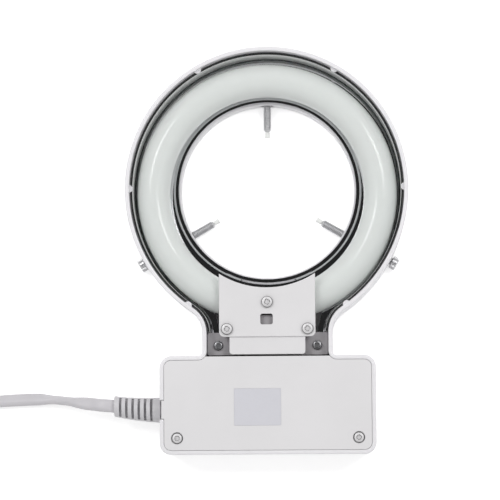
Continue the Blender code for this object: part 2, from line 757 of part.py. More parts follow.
def housing_bosses():
    """The bore wall, the insert bosses and the screw posts, all standing in the floor."""
    foot = FLOOR_THICKNESS - SINK
    bm = bmesh.new()
    add_cylinder(
        bm, BORE_RADIUS + BORE_WALL, (0, 0, foot), (0, 0, BORE_WALL_TOP), ROUND_STEPS)
    bore_wall = add_cutter("bore_wall_blank", mesh_from(bm, "bore_wall_blank"))
    bm = bmesh.new()
    for angle in SCREW_ANGLES.values():
        near = toward(angle) * (BORE_RADIUS + BORE_WALL / 2)
        far = toward(angle) * (BORE_RADIUS + INSERT_RECESS + INSERT_LENGTH + BOSS_WALL)
        lift = Vector((0, 0, SCREW_HEIGHT))
        add_cylinder(bm, INSERT_BOSS_RADIUS, near + lift, far + lift, SCREW_STEPS)
    insert_bosses = add_cutter("insert_boss_blanks", mesh_from(bm, "insert_boss_blanks"))
    bm = bmesh.new()
    for x, y, radius, top in post_places():
        add_cylinder(bm, radius, (x, y, foot), (x, y, top))
    posts = add_cutter("post_blanks", mesh_from(bm, "post_blanks"))
    half_length, half_width = WELL_HALF_LENGTH + WELL_WALL, WELL_HALF_WIDTH + WELL_WALL
    well_block = add_cutter("well_block", box_mesh(
        "well_block", (SWITCH_X - half_length, -SWITCH_Y - half_width, foot),
        (SWITCH_X + half_length, -SWITCH_Y + half_width, WELL_TOP)))
    return bore_wall, insert_bosses, posts, well_block


def post_places():
    """Place, radius and top of each post that stands on the housing floor."""
    places = [(0, -PLATE_MIDDLE_SCREW_Y, POST_RADIUS, PLATE_BOTTOM - GAP)]
    for _, x in side_pairs(PLATE_SCREW_X):
        places.append((x, -PLATE_SCREW_Y, POST_RADIUS, PLATE_BOTTOM - GAP))
    for _, x in side_pairs(EAR_SCREW_X):
        places.append((x, -EAR_SCREW_Y, POST_RADIUS, EAR_TOP - EAR_THICKNESS - GAP))
    for _, x in side_pairs(COVER_SCREW_X):
        places.append((x, -COVER_SCREW_Y, POST_RADIUS, COVER_BOTTOM - GAP))
    for _, x in side_pairs(COVER_REST_X):
        places.append((x, -COVER_REST_Y, POST_RADIUS, COVER_BOTTOM - GAP))
    for _, x, y in board_screw_places():
        places.append((x, y, BOARD_POST_RADIUS, BOARD_BOTTOM - GAP))
    for _, y in clamp_screw_places():
        places.append((CLAMP_X, y, POST_RADIUS, RELIEF_HEIGHT))
    return places


def board_screw_places():
    """Name and place of each screw of the ballast board."""
    dx = BOARD_HALF_LENGTH - BOARD_SCREW_INSET
    dy = BOARD_HALF_WIDTH - BOARD_SCREW_INSET
    return (
        ("board_screw_1", BOARD_X - dx, -BOARD_Y + dy),
        ("board_screw_2", BOARD_X + dx, -BOARD_Y - dy),
    )


def clamp_screw_places():
    """Name and place across the cord of each screw of the cord clamp."""
    return (
        ("clamp_screw_1", -RELIEF_Y - CLAMP_SCREW_Y),
        ("clamp_screw_2", -RELIEF_Y + CLAMP_SCREW_Y),
    )


def housing_cuts():
    """Cutters for the bore, the screw holes, the cord slot and the switch well."""
    edge = BORE_RADIUS + BORE_CHAMFER
    bore = add_cutter("bore_cut", turned_mesh("bore_cut", (
        (0, BORE_WALL_TOP + OVERRUN),
        (edge, BORE_WALL_TOP + OVERRUN),
        (edge, BORE_WALL_TOP),
        (BORE_RADIUS, BORE_WALL_TOP - BORE_CHAMFER),
        (BORE_RADIUS, BORE_CHAMFER),
        (edge, 0),
        (edge, -OVERRUN),
        (0, -OVERRUN),
    ), ROUND_STEPS))
    lift = Vector((0, 0, SCREW_HEIGHT))
    bm = bmesh.new()
    for angle in SCREW_ANGLES.values():
        way = toward(angle)
        near = way * (BORE_RADIUS - OVERRUN)
        far = way * (BORE_RADIUS + INSERT_RECESS + INSERT_LENGTH + GAP)
        add_cylinder(bm, INSERT_RADIUS + GAP, near + lift, far + lift, SCREW_STEPS)
        near = way * (wall_radius(angle) - HOUSING_WALL - OVERRUN)
        far = way * (wall_radius(angle) + OVERRUN)
        add_cylinder(bm, SHANK_HOLE_RADIUS, near + lift, far + lift)
    seats = add_cutter("insert_seats", mesh_from(bm, "insert_seats"))
    bm = bmesh.new()
    for angle in SCREW_ANGLES.values():
        way = toward(angle)
        near = way * (BORE_RADIUS + INSERT_LENGTH)
        far = way * (BORE_RADIUS + INSERT_RECESS + INSERT_LENGTH + BOSS_WALL + OVERRUN)
        add_cylinder(bm, SHANK_HOLE_RADIUS, near + lift, far + lift)
    for x, y, _, top in post_places():
        if y != -COVER_REST_Y:
            depth_left = top - FLOOR_THICKNESS
            bottom = top - min(POST_HOLE_DEPTH, depth_left + SINK)
            add_cylinder(bm, PAN_SHANK_RADIUS + GAP, (x, y, bottom), (x, y, top + OVERRUN))
    holes = add_cutter("screw_holes", mesh_from(bm, "screw_holes"))
    bm = bmesh.new()
    wall_inside = -BOX_HALF_WIDTH + HOUSING_WALL + OVERRUN
    add_cylinder(
        bm, SLOT_RADIUS, (-BOX_HALF_WIDTH - OVERRUN, -RELIEF_Y, RELIEF_HEIGHT),
        (wall_inside, -RELIEF_Y, RELIEF_HEIGHT), SCREW_STEPS)
    slot_round = add_cutter("cord_slot_round", mesh_from(bm, "cord_slot_round"))
    bm = bmesh.new()
    add_box(
        bm, (-BOX_HALF_WIDTH - OVERRUN, -RELIEF_Y - SLOT_RADIUS, RELIEF_HEIGHT),
        (wall_inside, -RELIEF_Y + SLOT_RADIUS, HOUSING_HEIGHT + OVERRUN))
    slot = add_cutter("cord_slot", mesh_from(bm, "cord_slot"))
    well = add_cutter("switch_well", flat_mesh("switch_well", rounded_rectangle(
        SWITCH_X, -SWITCH_Y, WELL_HALF_LENGTH, WELL_HALF_WIDTH, WELL_WALL / 2),
        -OVERRUN, WELL_DEPTH))
    opening = add_cutter("switch_opening", box_mesh(
        "switch_opening",
        (SWITCH_X - SWITCH_BODY_HALF_LENGTH - GAP, -SWITCH_Y - SWITCH_BODY_HALF_WIDTH - GAP,
         WELL_DEPTH - SINK),
        (SWITCH_X + SWITCH_BODY_HALF_LENGTH + GAP, -SWITCH_Y + SWITCH_BODY_HALF_WIDTH + GAP,
         WELL_TOP + OVERRUN)))
    return bore, seats, holes, slot_round, slot, well, opening


def lug_blanks():
    """The half-round lugs that hold the reflector down, as whole discs in the wall."""
    bm = bmesh.new()
    low = REFLECTOR_RIM + LUG_CLEARANCE
    for angle in LUG_ANGLES:
        inner = wall_radius(angle) - HOUSING_WALL
        place = toward(angle) * (inner - LUG_REACH + LUG_RADIUS)
        add_cylinder(
            bm, LUG_RADIUS, place + Vector((0, 0, low)), place + Vector((0, 0, low + LUG_HEIGHT)))
    return add_cutter("lug_blanks", mesh_from(bm, "lug_blanks"))


def build_housing():
    """The white moulded housing: tray, bore wall, bosses, posts, lugs, slot and switch well."""
    housing = add_part("housing", housing_mesh(), "white_housing")
    for blank in housing_bosses():
        boolean(housing, blank, "UNION")
    boolean(housing, lug_blanks(), "UNION")
    for cutter in housing_cuts():
        boolean(housing, cutter)


# Reflector and lamp

def build_reflector():
    """The bright tray behind the lamp, with a beaded lip round the bore."""
    wall_out = HOUSING_WALL + GAP
    wall_in = wall_out + REFLECTOR_SHEET
    brow = REFLECTOR_SHEET / 4
    levels = (
        (wall_out + REFLECTOR_FOOT, REFLECTOR_FLOOR),
        (wall_out, REFLECTOR_FLOOR + REFLECTOR_FOOT),
        (wall_out, REFLECTOR_RIM - brow),
        (wall_out + brow, REFLECTOR_RIM),
        (wall_in - brow, REFLECTOR_RIM),
        (wall_in, REFLECTOR_RIM - brow),
        (wall_in, REFLECTOR_TOP + REFLECTOR_COVE),
        (wall_in + REFLECTOR_COVE / 3, REFLECTOR_TOP + REFLECTOR_COVE / 3),
        (wall_in + REFLECTOR_COVE, REFLECTOR_TOP),
    )
    bm = bmesh.new()
    add_loft(bm, [keyhole_ring(inset, height) for inset, height in levels])
    tray = add_part("reflector", mesh_from(bm, "reflector"), "reflector_metal")
    inner = BORE_RADIUS + LIP_SETBACK
    crown = LIP_WIDTH / 4
    lip_top = REFLECTOR_TOP + LIP_HEIGHT
    bead = turned_mesh("lip_blank", (
        (inner - OVERRUN, lip_top),
        (inner + LIP_WIDTH - crown, lip_top),
        (inner + LIP_WIDTH, lip_top - crown),
        (inner + LIP_WIDTH, REFLECTOR_TOP - REFLECTOR_SHEET / 2),
        (inner - OVERRUN, REFLECTOR_TOP - REFLECTOR_SHEET / 2),
    ), ROUND_STEPS, closed=True)
    boolean(tray, add_cutter("lip_blank", bead), "UNION")
    boolean(tray, add_cutter("reflector_bore", turned_mesh("reflector_bore", (
        (0, HOUSING_HEIGHT),
        (inner + crown * 2, HOUSING_HEIGHT),
        (inner + crown * 2, lip_top + crown),
        (inner, lip_top - crown),
        (inner, -OVERRUN),
        (0, -OVERRUN),
    ), ROUND_STEPS)))
    far = BOX_FAR + OVERRUN
    boolean(tray, add_cutter("reflector_trim", box_mesh(
        "reflector_trim", (-BOX_HALF_WIDTH - OVERRUN, -far, -OVERRUN),
        (BOX_HALF_WIDTH + OVERRUN, -REFLECTOR_END, HOUSING_HEIGHT + OVERRUN))))
    narrow = CUTOUT_HALF_WIDTH - CUTOUT_TAPER
    outline = (
        (CUTOUT_HALF_WIDTH, -CUTOUT_NEAR), (narrow, -REFLECTOR_END - OVERRUN),
        (-narrow, -REFLECTOR_END - OVERRUN), (-CUTOUT_HALF_WIDTH, -CUTOUT_NEAR))
    hole = flat_mesh("socket_cutout", outline, REFLECTOR_FLOOR - OVERRUN,
                     REFLECTOR_TOP + REFLECTOR_COVE * 2)
    boolean(tray, add_cutter("socket_cutout", hole))


def lamp_arc(radius_gap):
    """Points of the lamp's bent tube, from one end in the base round to the other."""
    reach = BASE_HALF_WIDTH - TUBE_END_INSET - radius_gap
    half = math.asin(reach / TUBE_CENTRE_RADIUS)
    first = -math.pi / 2 + half
    last = 1.5 * math.pi - half
    return [
        Vector((x, y - LAMP_OFFSET, TUBE_HEIGHT))
        for x, y in arc(0, 0, TUBE_CENTRE_RADIUS, first, last, TUBE_STEPS)]


def build_lamp():
    """The ring tube, its base block and the four pins under it."""
    add_part("lamp_tube", tube_mesh("lamp_tube", lamp_arc(0), TUBE_RADIUS, 5), "lamp_glass")
    bm = bmesh.new()
    add_box(bm, (-BASE_HALF_WIDTH, -BASE_OUTER, REFLECTOR_TOP + GAP),
            (BASE_HALF_WIDTH, -BASE_INNER, BASE_TOP))
    block = add_part("lamp_base", mesh_from(bm, "lamp_base"), "white_cover")
    bevel_edges(block, BASE_ROUND)
    seat = tube_mesh("lamp_seat", lamp_arc(GAP), TUBE_RADIUS + GAP, 5)
    boolean(block, add_cutter("lamp_seat", seat))
    boolean(block, add_cutter("base_post_hole", cylinder_mesh(
        "base_post_hole", POST_RADIUS + GAP, (0, -PLATE_MIDDLE_SCREW_Y, 0),
        (0, -PLATE_MIDDLE_SCREW_Y, HOUSING_HEIGHT))))
    for name, x, y in pin_places():
        top = REFLECTOR_TOP
        pin = cylinder_mesh(name, PIN_RADIUS, (x, y, top - PIN_LENGTH), (x, y, top), 12)
        add_part(name, pin, "brass")


def pin_places():
    """Name and place of each lamp pin."""
    places = []
    for row, dy in enumerate((-PIN_ROW / 2, PIN_ROW / 2)):
        for side, dx in enumerate((-PIN_SPACING, PIN_SPACING)):
            places.append((f"lamp_pin_{2 * row + side + 1}", dx, -BASE_CENTRE + dy))
    return places


# Lamp holder, retaining plate and screws

def build_holder():
    """The grey lamp holder: socket block under the base, riser, and two ears with screws."""
    bm = bmesh.new()
    add_box(bm, (-HOLDER_HALF_WIDTH, -HOLDER_END, HOLDER_FLOOR),
            (HOLDER_HALF_WIDTH, -HOLDER_RISER_NEAR, HOLDER_TOP))
    holder = add_part("lamp_holder", mesh_from(bm, "lamp_holder"), "grey_holder")
    boolean(holder, add_cutter("socket_block", box_mesh(
        "socket_block", (-HOLDER_HALF_WIDTH, -HOLDER_RISER_NEAR - SINK, HOLDER_FLOOR),
        (HOLDER_HALF_WIDTH, -HOLDER_NEAR, SOCKET_TOP - PIN_RADIUS / 2))), "UNION")
    ear_half = NECK_HALF_WIDTH - HOUSING_WALL - GAP
    outline = rounded_rectangle(
        0, -(REFLECTOR_END + GAP + HOLDER_END) / 2, ear_half,
        (HOLDER_END - REFLECTOR_END - GAP) / 2, EAR_THICKNESS / 4)
    ears = flat_mesh("ear_blank", outline, EAR_TOP - EAR_THICKNESS, EAR_TOP)
    boolean(holder, add_cutter("ear_blank", ears), "UNION")
    bm = bmesh.new()
    for name, x, y in pin_places():
        add_cylinder(bm, PIN_RADIUS + GAP, (x, y, REFLECTOR_TOP - PIN_LENGTH - GAP),
                     (x, y, REFLECTOR_TOP + OVERRUN), 12)
    for _, x in side_pairs(PLATE_SCREW_X):
        add_cylinder(bm, POST_RADIUS + GAP, (x, -PLATE_SCREW_Y, 0),
                     (x, -PLATE_SCREW_Y, HOUSING_HEIGHT + OVERRUN))
    add_cylinder(bm, POST_RADIUS + GAP, (0, -PLATE_MIDDLE_SCREW_Y, 0),
                 (0, -PLATE_MIDDLE_SCREW_Y, SOCKET_TOP + OVERRUN))
    for _, x in side_pairs(EAR_SCREW_X):
        add_cylinder(bm, PAN_SHANK_RADIUS + GAP, (x, -EAR_SCREW_Y, EAR_TOP - OVERRUN * 2),
                     (x, -EAR_SCREW_Y, EAR_TOP + OVERRUN))
    boolean(holder, add_cutter("holder_holes", mesh_from(bm, "holder_holes")))
    for side, x in side_pairs(EAR_SCREW_X):
        add_screw(f"ear_screw_{side}", (x, -EAR_SCREW_Y, EAR_TOP + GAP), EAR_HEAD_RADIUS,
                  EAR_HEAD_HEIGHT, PAN_SHANK_LENGTH, "dark_screw")


def screw_mesh(name, radius, height, shank):
    """A domed screw standing on Z, its head's underside at zero."""
    return turned_mesh(name, (
        (0, height),
        (radius * 0.75, height * 0.9),
        (radius, height * 0.45),
        (radius, 0),
        (PAN_SHANK_RADIUS, 0),
        (PAN_SHANK_RADIUS, -shank),
        (0, -shank),
    ), SCREW_STEPS)


def add_screw(name, place, radius, height, shank, finish_name):
    """A screw with a four-sided recess in its head."""
    mesh = screw_mesh(name, radius, height, shank)
    mesh.transform(Matrix.Translation(Vector(place)))
    screw = add_part(name, mesh, finish_name)
    bm = bmesh.new()
    x, y, z = place
    add_cylinder(bm, RECESS_RADIUS * 0.5, (x, y, z + height - RECESS_DEPTH),
                 (x, y, z + height + RECESS_DEPTH), 4, far_radius=RECESS_RADIUS * 1.5)
    boolean(screw, add_cutter(f"{name}_recess", mesh_from(bm, f"{name}_recess")))


def plate_outline():
    """The retaining plate: an arc concave to the bore, straight sides and two round corners."""
    centre = PLATE_ARC_LOW - PLATE_ARC_RADIUS
    half = math.asin(PLATE_HALF_WIDTH / PLATE_ARC_RADIUS)
    top = arc(0, -centre, PLATE_ARC_RADIUS, -math.pi / 2 - half, -math.pi / 2 + half, 14)
    x, y = PLATE_HALF_WIDTH - PLATE_CORNER, -PLATE_END + PLATE_CORNER
    right = arc(x, y, PLATE_CORNER, 0, -math.pi / 2, CORNER_STEPS)
    left = arc(-x, y, PLATE_CORNER, -math.pi / 2, -math.pi, CORNER_STEPS)
    return top + right + left


def build_plate():
    """The white plate that holds the lamp base down, with its tongue and three screws."""
    plate = add_part("retaining_plate", flat_mesh(
        "retaining_plate", plate_outline(), PLATE_BOTTOM, PLATE_TOP), "white_cover")
    bevel_edges(plate, PLATE_EDGE)
    low = -PLATE_END + PLATE_CORNER + TONGUE_CORNER
    middle = (low - TONGUE_END) / 2
    tongue = flat_mesh("tongue_blank", rounded_rectangle(
        0, middle, TONGUE_HALF_WIDTH, (low + TONGUE_END) / 2, TONGUE_CORNER),
        TONGUE_BOTTOM, TONGUE_TOP)
    boolean(plate, add_cutter("tongue_blank", tongue), "UNION")
    bm = bmesh.new()
    for _, x, y in plate_screw_places():
        add_cylinder(bm, PAN_SHANK_RADIUS + GAP, (x, y, TONGUE_BOTTOM - OVERRUN),
                     (x, y, PLATE_TOP + OVERRUN))
    boolean(plate, add_cutter("plate_shank_holes", mesh_from(bm, "plate_shank_holes")))
    bm = bmesh.new()
    for _, x in side_pairs(PLATE_SCREW_X):
        add_cylinder(bm, POST_RADIUS + GAP, (x, -PLATE_SCREW_Y, TONGUE_BOTTOM - OVERRUN),
                     (x, -PLATE_SCREW_Y, PLATE_BOTTOM + GAP / 2))
    boolean(plate, add_cutter("post_notches", mesh_from(bm, "post_notches")))
    w, h, bulge = WINDOW_HALF_WIDTH, WINDOW_HALF_HEIGHT, WINDOW_BULGE
    window = (
        (w, h), (-w, h), (-w - bulge, h / 2), (-w - bulge, -h / 2), (-w, -h), (w, -h),
        (w + bulge, -h / 2), (w + bulge, h / 2))
    outline = [(x, y - WINDOW_Y) for x, y in window]
    boolean(plate, add_cutter("plate_window", flat_mesh(
        "plate_window", outline, TONGUE_BOTTOM - OVERRUN, PLATE_TOP + OVERRUN)))
    for name, x, y in plate_screw_places():
        add_screw(name, (x, y, PLATE_TOP + GAP), PAN_HEAD_RADIUS, PAN_HEAD_HEIGHT,
                  PAN_SHANK_LENGTH, "screw_steel")


def plate_screw_places():
    """Name and place of each screw of the retaining plate."""
    return (
        ("plate_screw_middle", 0, -PLATE_MIDDLE_SCREW_Y),
        ("plate_screw_left", -PLATE_SCREW_X, -PLATE_SCREW_Y),
        ("plate_screw_right", PLATE_SCREW_X, -PLATE_SCREW_Y),
    )


# Box cover and label

def build_cover():
    """The lid of the ballast box, its two sunk screws and the blank label in its pocket."""
    inset = HOUSING_WALL + GAP
    edge = COVER_EDGE
    levels = ((inset, COVER_BOTTOM), (inset, COVER_TOP - edge), (inset + edge, COVER_TOP))
    bm = bmesh.new()
    add_loft(bm, [keyhole_ring(t, z) for t, z in levels])
    cover = add_part("box_cover", mesh_from(bm, "box_cover"), "white_cover")
    reach = RING_RADIUS + RING_FLARE + OVERRUN
    boolean(cover, add_cutter("cover_trim", box_mesh(
        "cover_trim", (-reach, -COVER_NEAR, COVER_BOTTOM - OVERRUN),
        (reach, reach, COVER_TOP + OVERRUN))))
    wall_face = -BOX_HALF_WIDTH + HOUSING_WALL
    outline = (
        (wall_face - TAB_REACH, RELIEF_HEIGHT + SLOT_RADIUS),
        (wall_face, RELIEF_HEIGHT + SLOT_RADIUS),
        (wall_face, COVER_BOTTOM),
        (wall_face + GAP + SINK, COVER_BOTTOM),
        (wall_face + GAP + SINK, COVER_TOP),
        (wall_face - TAB_REACH, COVER_TOP))
    tab = flat_mesh("slot_tab", outline, -RELIEF_NECK_RADIUS, RELIEF_NECK_RADIUS)
    stand = Matrix.Rotation(math.pi / 2, 4, "X")
    tab.transform(Matrix.Translation((0, -RELIEF_Y, 0)) @ stand)
    boolean(cover, add_cutter("slot_tab", tab), "UNION")
    seat = COVER_TOP - COUNTERBORE_DEPTH
    bm = bmesh.new()
    for _, x in side_pairs(COVER_SCREW_X):
        add_cylinder(bm, COVER_HEAD_RADIUS + COUNTERBORE_CLEARANCE, (x, -COVER_SCREW_Y, seat),
                     (x, -COVER_SCREW_Y, COVER_TOP + OVERRUN), SCREW_STEPS)
    boolean(cover, add_cutter("counterbores", mesh_from(bm, "counterbores")))
    bm = bmesh.new()
    for _, x in side_pairs(COVER_SCREW_X):
        add_cylinder(bm, PAN_SHANK_RADIUS + GAP, (x, -COVER_SCREW_Y, COVER_BOTTOM - OVERRUN),
                     (x, -COVER_SCREW_Y, COVER_TOP), SMALL_STEPS)
    boolean(cover, add_cutter("cover_holes", mesh_from(bm, "cover_holes")))
    boolean(cover, add_cutter("label_pocket", flat_mesh("label_pocket", rounded_rectangle(
        LABEL_X, -LABEL_Y, LABEL_HALF_WIDTH + STICKER_GAP, LABEL_HALF_HEIGHT + STICKER_GAP,
        LABEL_CORNER), COVER_TOP - LABEL_POCKET, COVER_TOP + OVERRUN)))
    add_part("label", flat_mesh("label", rounded_rectangle(
        LABEL_X, -LABEL_Y, LABEL_HALF_WIDTH, LABEL_HALF_HEIGHT, LABEL_CORNER),
        COVER_TOP - LABEL_POCKET + STICKER_GAP, COVER_TOP), "label_paper")
    for side, x in side_pairs(COVER_SCREW_X):
        add_screw(f"cover_screw_{side}", (x, -COVER_SCREW_Y, seat + GAP), COVER_HEAD_RADIUS,
                  COVER_HEAD_HEIGHT, PAN_SHANK_LENGTH, "screw_steel")


# Thumbscrews

def screw_places(angle):
    """Radii along a thumbscrew: knob seat, knob face, thread end, cone end and tip end."""
    seat = wall_radius(angle) + KNOB_SEAT_GAP
    tip = seat - SCREW_REACH
    cone = tip + TIP_LENGTH
    return seat, seat + KNOB_LENGTH, cone + SCREW_CONE, cone, tip


def build_thumbscrew(side, angle):
    """One thumbscrew, the nylon tip in its end and the threaded insert that carries it."""
    seat, face, thread_end, cone, tip = screw_places(angle)
    lift = Vector((0, 0, SCREW_HEIGHT))
    way = toward(angle)
    pivot = way * tip + lift
    stem_hole = TIP_STEM_RADIUS + GAP
    profile = (
        (0, face),
        (KNOB_RADIUS - KNOB_CHAMFER, face),
        (KNOB_RADIUS, face - KNOB_CHAMFER),
        (KNOB_RADIUS, seat + KNOB_CHAMFER),
        (KNOB_RADIUS - KNOB_CHAMFER, seat),
        (THREAD_RADIUS, seat),
        (THREAD_RADIUS, thread_end),
        (SCREW_NECK_RADIUS, cone),
        (stem_hole, cone),
        (stem_hole, cone + TIP_STEM_LENGTH + GAP),
        (0, cone + TIP_STEM_LENGTH + GAP),
    )
    mesh = aimed(turned_mesh(f"thumbscrew_{side}", profile, KNOB_RIDGES * 2), lift, way)
    screw = add_part(f"thumbscrew_{side}", mesh, "screw_steel", pivot)
    bm = bmesh.new()
    across = Vector((-way.y, way.x, 0))
    for i in range(KNOB_RIDGES):
        turn = 2 * math.pi * i / KNOB_RIDGES
        out = across * math.cos(turn) + Vector((0, 0, math.sin(turn)))
        middle = out * (KNOB_RADIUS + KNOB_GROOVE * 0.4) + lift
        add_cylinder(bm, KNOB_GROOVE, middle + way * (seat - SINK), middle + way * (face + SINK), 6)
    boolean(screw, add_cutter(f"knurl_{side}", mesh_from(bm, f"knurl_{side}")))
    tip_profile = (
        (0, cone + TIP_STEM_LENGTH),
        (TIP_STEM_RADIUS, cone + TIP_STEM_LENGTH),
        (TIP_STEM_RADIUS, cone - GAP),
        (TIP_RADIUS, cone - GAP),
        (TIP_RADIUS, tip + TIP_LENGTH * 0.35),
        (TIP_FLARE_RADIUS, tip + TIP_LENGTH * 0.1),
        (TIP_FLARE_RADIUS, tip),
        (0, tip),
    )
    mesh = aimed(turned_mesh(f"screw_tip_{side}", tip_profile, 12), lift, way)
    add_part(f"screw_tip_{side}", mesh, "nylon", pivot)
    near = BORE_RADIUS + INSERT_RECESS
    far = near + INSERT_LENGTH
    middle = (near + far) / 2
    hole = THREAD_RADIUS + GAP
    waist = INSERT_RADIUS - INSERT_GROOVE
    insert_profile = (
        (INSERT_RADIUS, far),
        (INSERT_RADIUS, middle + INSERT_GROOVE * 1.5),
        (waist, middle + INSERT_GROOVE),
        (waist, middle - INSERT_GROOVE),
        (INSERT_RADIUS, middle - INSERT_GROOVE * 1.5),
        (INSERT_RADIUS, near),
        (hole, near),
        (hole, far),
    )
    mesh = turned_mesh(f"insert_{side}", insert_profile, SCREW_STEPS, closed=True)
    add_part(f"threaded_insert_{side}", aimed(mesh, lift, way), "brass")


# Strain relief, cord and plug

def relief_axis(distance):
    """Point on the relief's bent axis at a distance outside the box wall."""
    share = max(0.0, distance) / RELIEF_LENGTH
    bend = RELIEF_BEND * share
    drop = RELIEF_LENGTH * share * math.sin(bend)
    return Vector((-BOX_HALF_WIDTH - distance, -RELIEF_Y + drop, RELIEF_HEIGHT))


def relief_radius(distance):
    """Radius of the tapered tail at a distance outside the box wall."""
    share = max(0.0, min(1.0, distance / RELIEF_LENGTH))
    return RELIEF_ROOT_RADIUS + (RELIEF_END_RADIUS - RELIEF_ROOT_RADIUS) * share


def relief_section(distance, radius):
    """A ring across the relief's axis."""
    centre = relief_axis(distance)
    return [
        centre + Vector((0, radius * math.cos(a), radius * math.sin(a)))
        for a in (2 * math.pi * i / RELIEF_STEPS for i in range(RELIEF_STEPS))]


def build_relief():
    """The strain relief: inner flange, neck in the wall slot, collar and slotted tail."""
    inside = -HOUSING_WALL - GAP
    sections = [
        (inside - RELIEF_FLANGE, RELIEF_FLANGE_RADIUS),
        (inside, RELIEF_FLANGE_RADIUS),
        (inside, RELIEF_NECK_RADIUS),
        (GAP, RELIEF_NECK_RADIUS),
        (GAP, RELIEF_ROOT_RADIUS - EDGE_BREAK),
        (GAP + EDGE_BREAK, RELIEF_ROOT_RADIUS),
    ]
    steps = RELIEF_SLOTS + 2
    for i in range(1, steps):
        distance = RELIEF_LENGTH * i / steps
        sections.append((distance, relief_radius(distance)))
    sections.append((RELIEF_LENGTH - EDGE_BREAK * 2, RELIEF_END_RADIUS))
    sections.append((RELIEF_LENGTH, RELIEF_END_RADIUS - EDGE_BREAK * 2))
    bm = bmesh.new()
    add_loft(bm, [relief_section(distance, radius) for distance, radius in sections])
    relief = add_part("strain_relief", mesh_from(bm, "strain_relief"), "relief_grey")
    bm = bmesh.new()
    for i in range(RELIEF_SLOTS):
        distance = RELIEF_COLLAR + RELIEF_SLOT_WIDTH / 2 + RELIEF_SLOT_PITCH * i
        centre = relief_axis(distance)
        half = relief_radius(distance) - RELIEF_WEB
        for low, high in ((RELIEF_CORE_HALF, RELIEF_ROOT_RADIUS + OVERRUN),
                          (-RELIEF_ROOT_RADIUS - OVERRUN, -RELIEF_CORE_HALF)):
            add_box(bm, centre + Vector((-RELIEF_SLOT_WIDTH / 2, -half, low)),
                    centre + Vector((RELIEF_SLOT_WIDTH / 2, half, high)))
    boolean(relief, add_cutter("relief_slots", mesh_from(bm, "relief_slots")))


def coil_centreline():
    """Centre line of the coil: spirals in, climbs a layer, and spirals out again."""
    outer = COIL_INNER + COIL_PITCH * COIL_TURNS_IN
    points = [Vector((COIL_X + COIL_LEAD_IN, COIL_Y - outer, CORD_REST_HEIGHT))]
    total = COIL_TURNS_IN + COIL_CLIMB_TURNS + COIL_TURNS_OUT
    count = round(total * COIL_POINTS)
    for i in range(count + 1):
        turn = total * i / count
        angle = -math.pi / 2 - 2 * math.pi * turn
        if turn <= COIL_TURNS_IN:
            radius, rise = outer - COIL_PITCH * turn, 0.0
        elif turn <= COIL_TURNS_IN + COIL_CLIMB_TURNS:
            share = (turn - COIL_TURNS_IN) / COIL_CLIMB_TURNS
            dip = COIL_CLIMB_TURNS * min(share, 1 - share)
            radius, rise = COIL_INNER - COIL_PITCH * dip, (1 - math.cos(math.pi * share)) / 2
        else:
            radius = COIL_INNER + COIL_PITCH * (turn - COIL_TURNS_IN - COIL_CLIMB_TURNS)
            rise = 1.0
        height = CORD_REST_HEIGHT + COIL_LAYER * rise
        points.append(Vector((
            COIL_X + radius * math.cos(angle), COIL_Y + radius * math.sin(angle), height)))
    points.append(points[-1] + Vector((0, COIL_LEAD_IN, 0)))
    return points


def report_coil_gap(points):
    """Print the least clearance between turns of the coil, surface to surface."""
    least = min(
        (a - b).length
        for i, a in enumerate(points) for b in points[i + COIL_POINTS // 2:])
    print(f"least gap of the coil to itself: {(least - 2 * CORD_RADIUS) * 1000:.2f} mm")


def build_cord():
    """The free cord, its coil, the tail and the two-pin plug."""
    start = relief_axis(RELIEF_LENGTH + GAP)
    coil = coil_centreline()
    lead_end = coil[0] + Vector((GAP, 0, 0))
    ease_in = lead_end + Vector((COIL_LEAD_IN, 0, 0))
    wall = Vector((-BOX_HALF_WIDTH, -RELIEF_Y, 0))
    route = [start, start + Vector((-COIL_LEAD_IN, CORD_FIRST_RISE, 0))]
    route += [wall + Vector(point) for point in CORD_ROUTE_FROM_RELIEF]
    route += [ease_in, lead_end]
    lead = smooth_route(route, CORD_POINT_STEP)
    add_part("cord_lead", tube_mesh("cord_lead", lead, CORD_RADIUS, 2), "cord_grey")
    report_coil_gap(coil)
    add_part("cord_coil", tube_mesh("cord_coil", coil, CORD_RADIUS, 1), "cord_grey")
    end = coil[-1]
    tail_start = end + Vector((0, GAP, 0))
    plug_y = end.y + PLUG_DISTANCE
    plug_z = PLUG_HALF_HEIGHT + PLUG_REST
    tail_end = Vector((end.x + TAIL_ROUTE[-1][0], plug_y - GAP, plug_z))
    route = [tail_start]
    route += [Vector((end.x + x, end.y + y, z)) for x, y, z in TAIL_ROUTE]
    route.append(tail_end)
    tail = smooth_route(route, CORD_POINT_STEP)
    add_part("cord_tail", tube_mesh("cord_tail", tail, CORD_RADIUS, 2), "cord_grey")
    spans = [sum((b - a).length for a, b in zip(p, p[1:])) for p in (lead, coil, tail)]
    print(f"cord: {sum(spans):.3f} m, of it {spans[0]:.3f} m free before the coil")
    build_plug(tail_end.x, plug_y, plug_z)


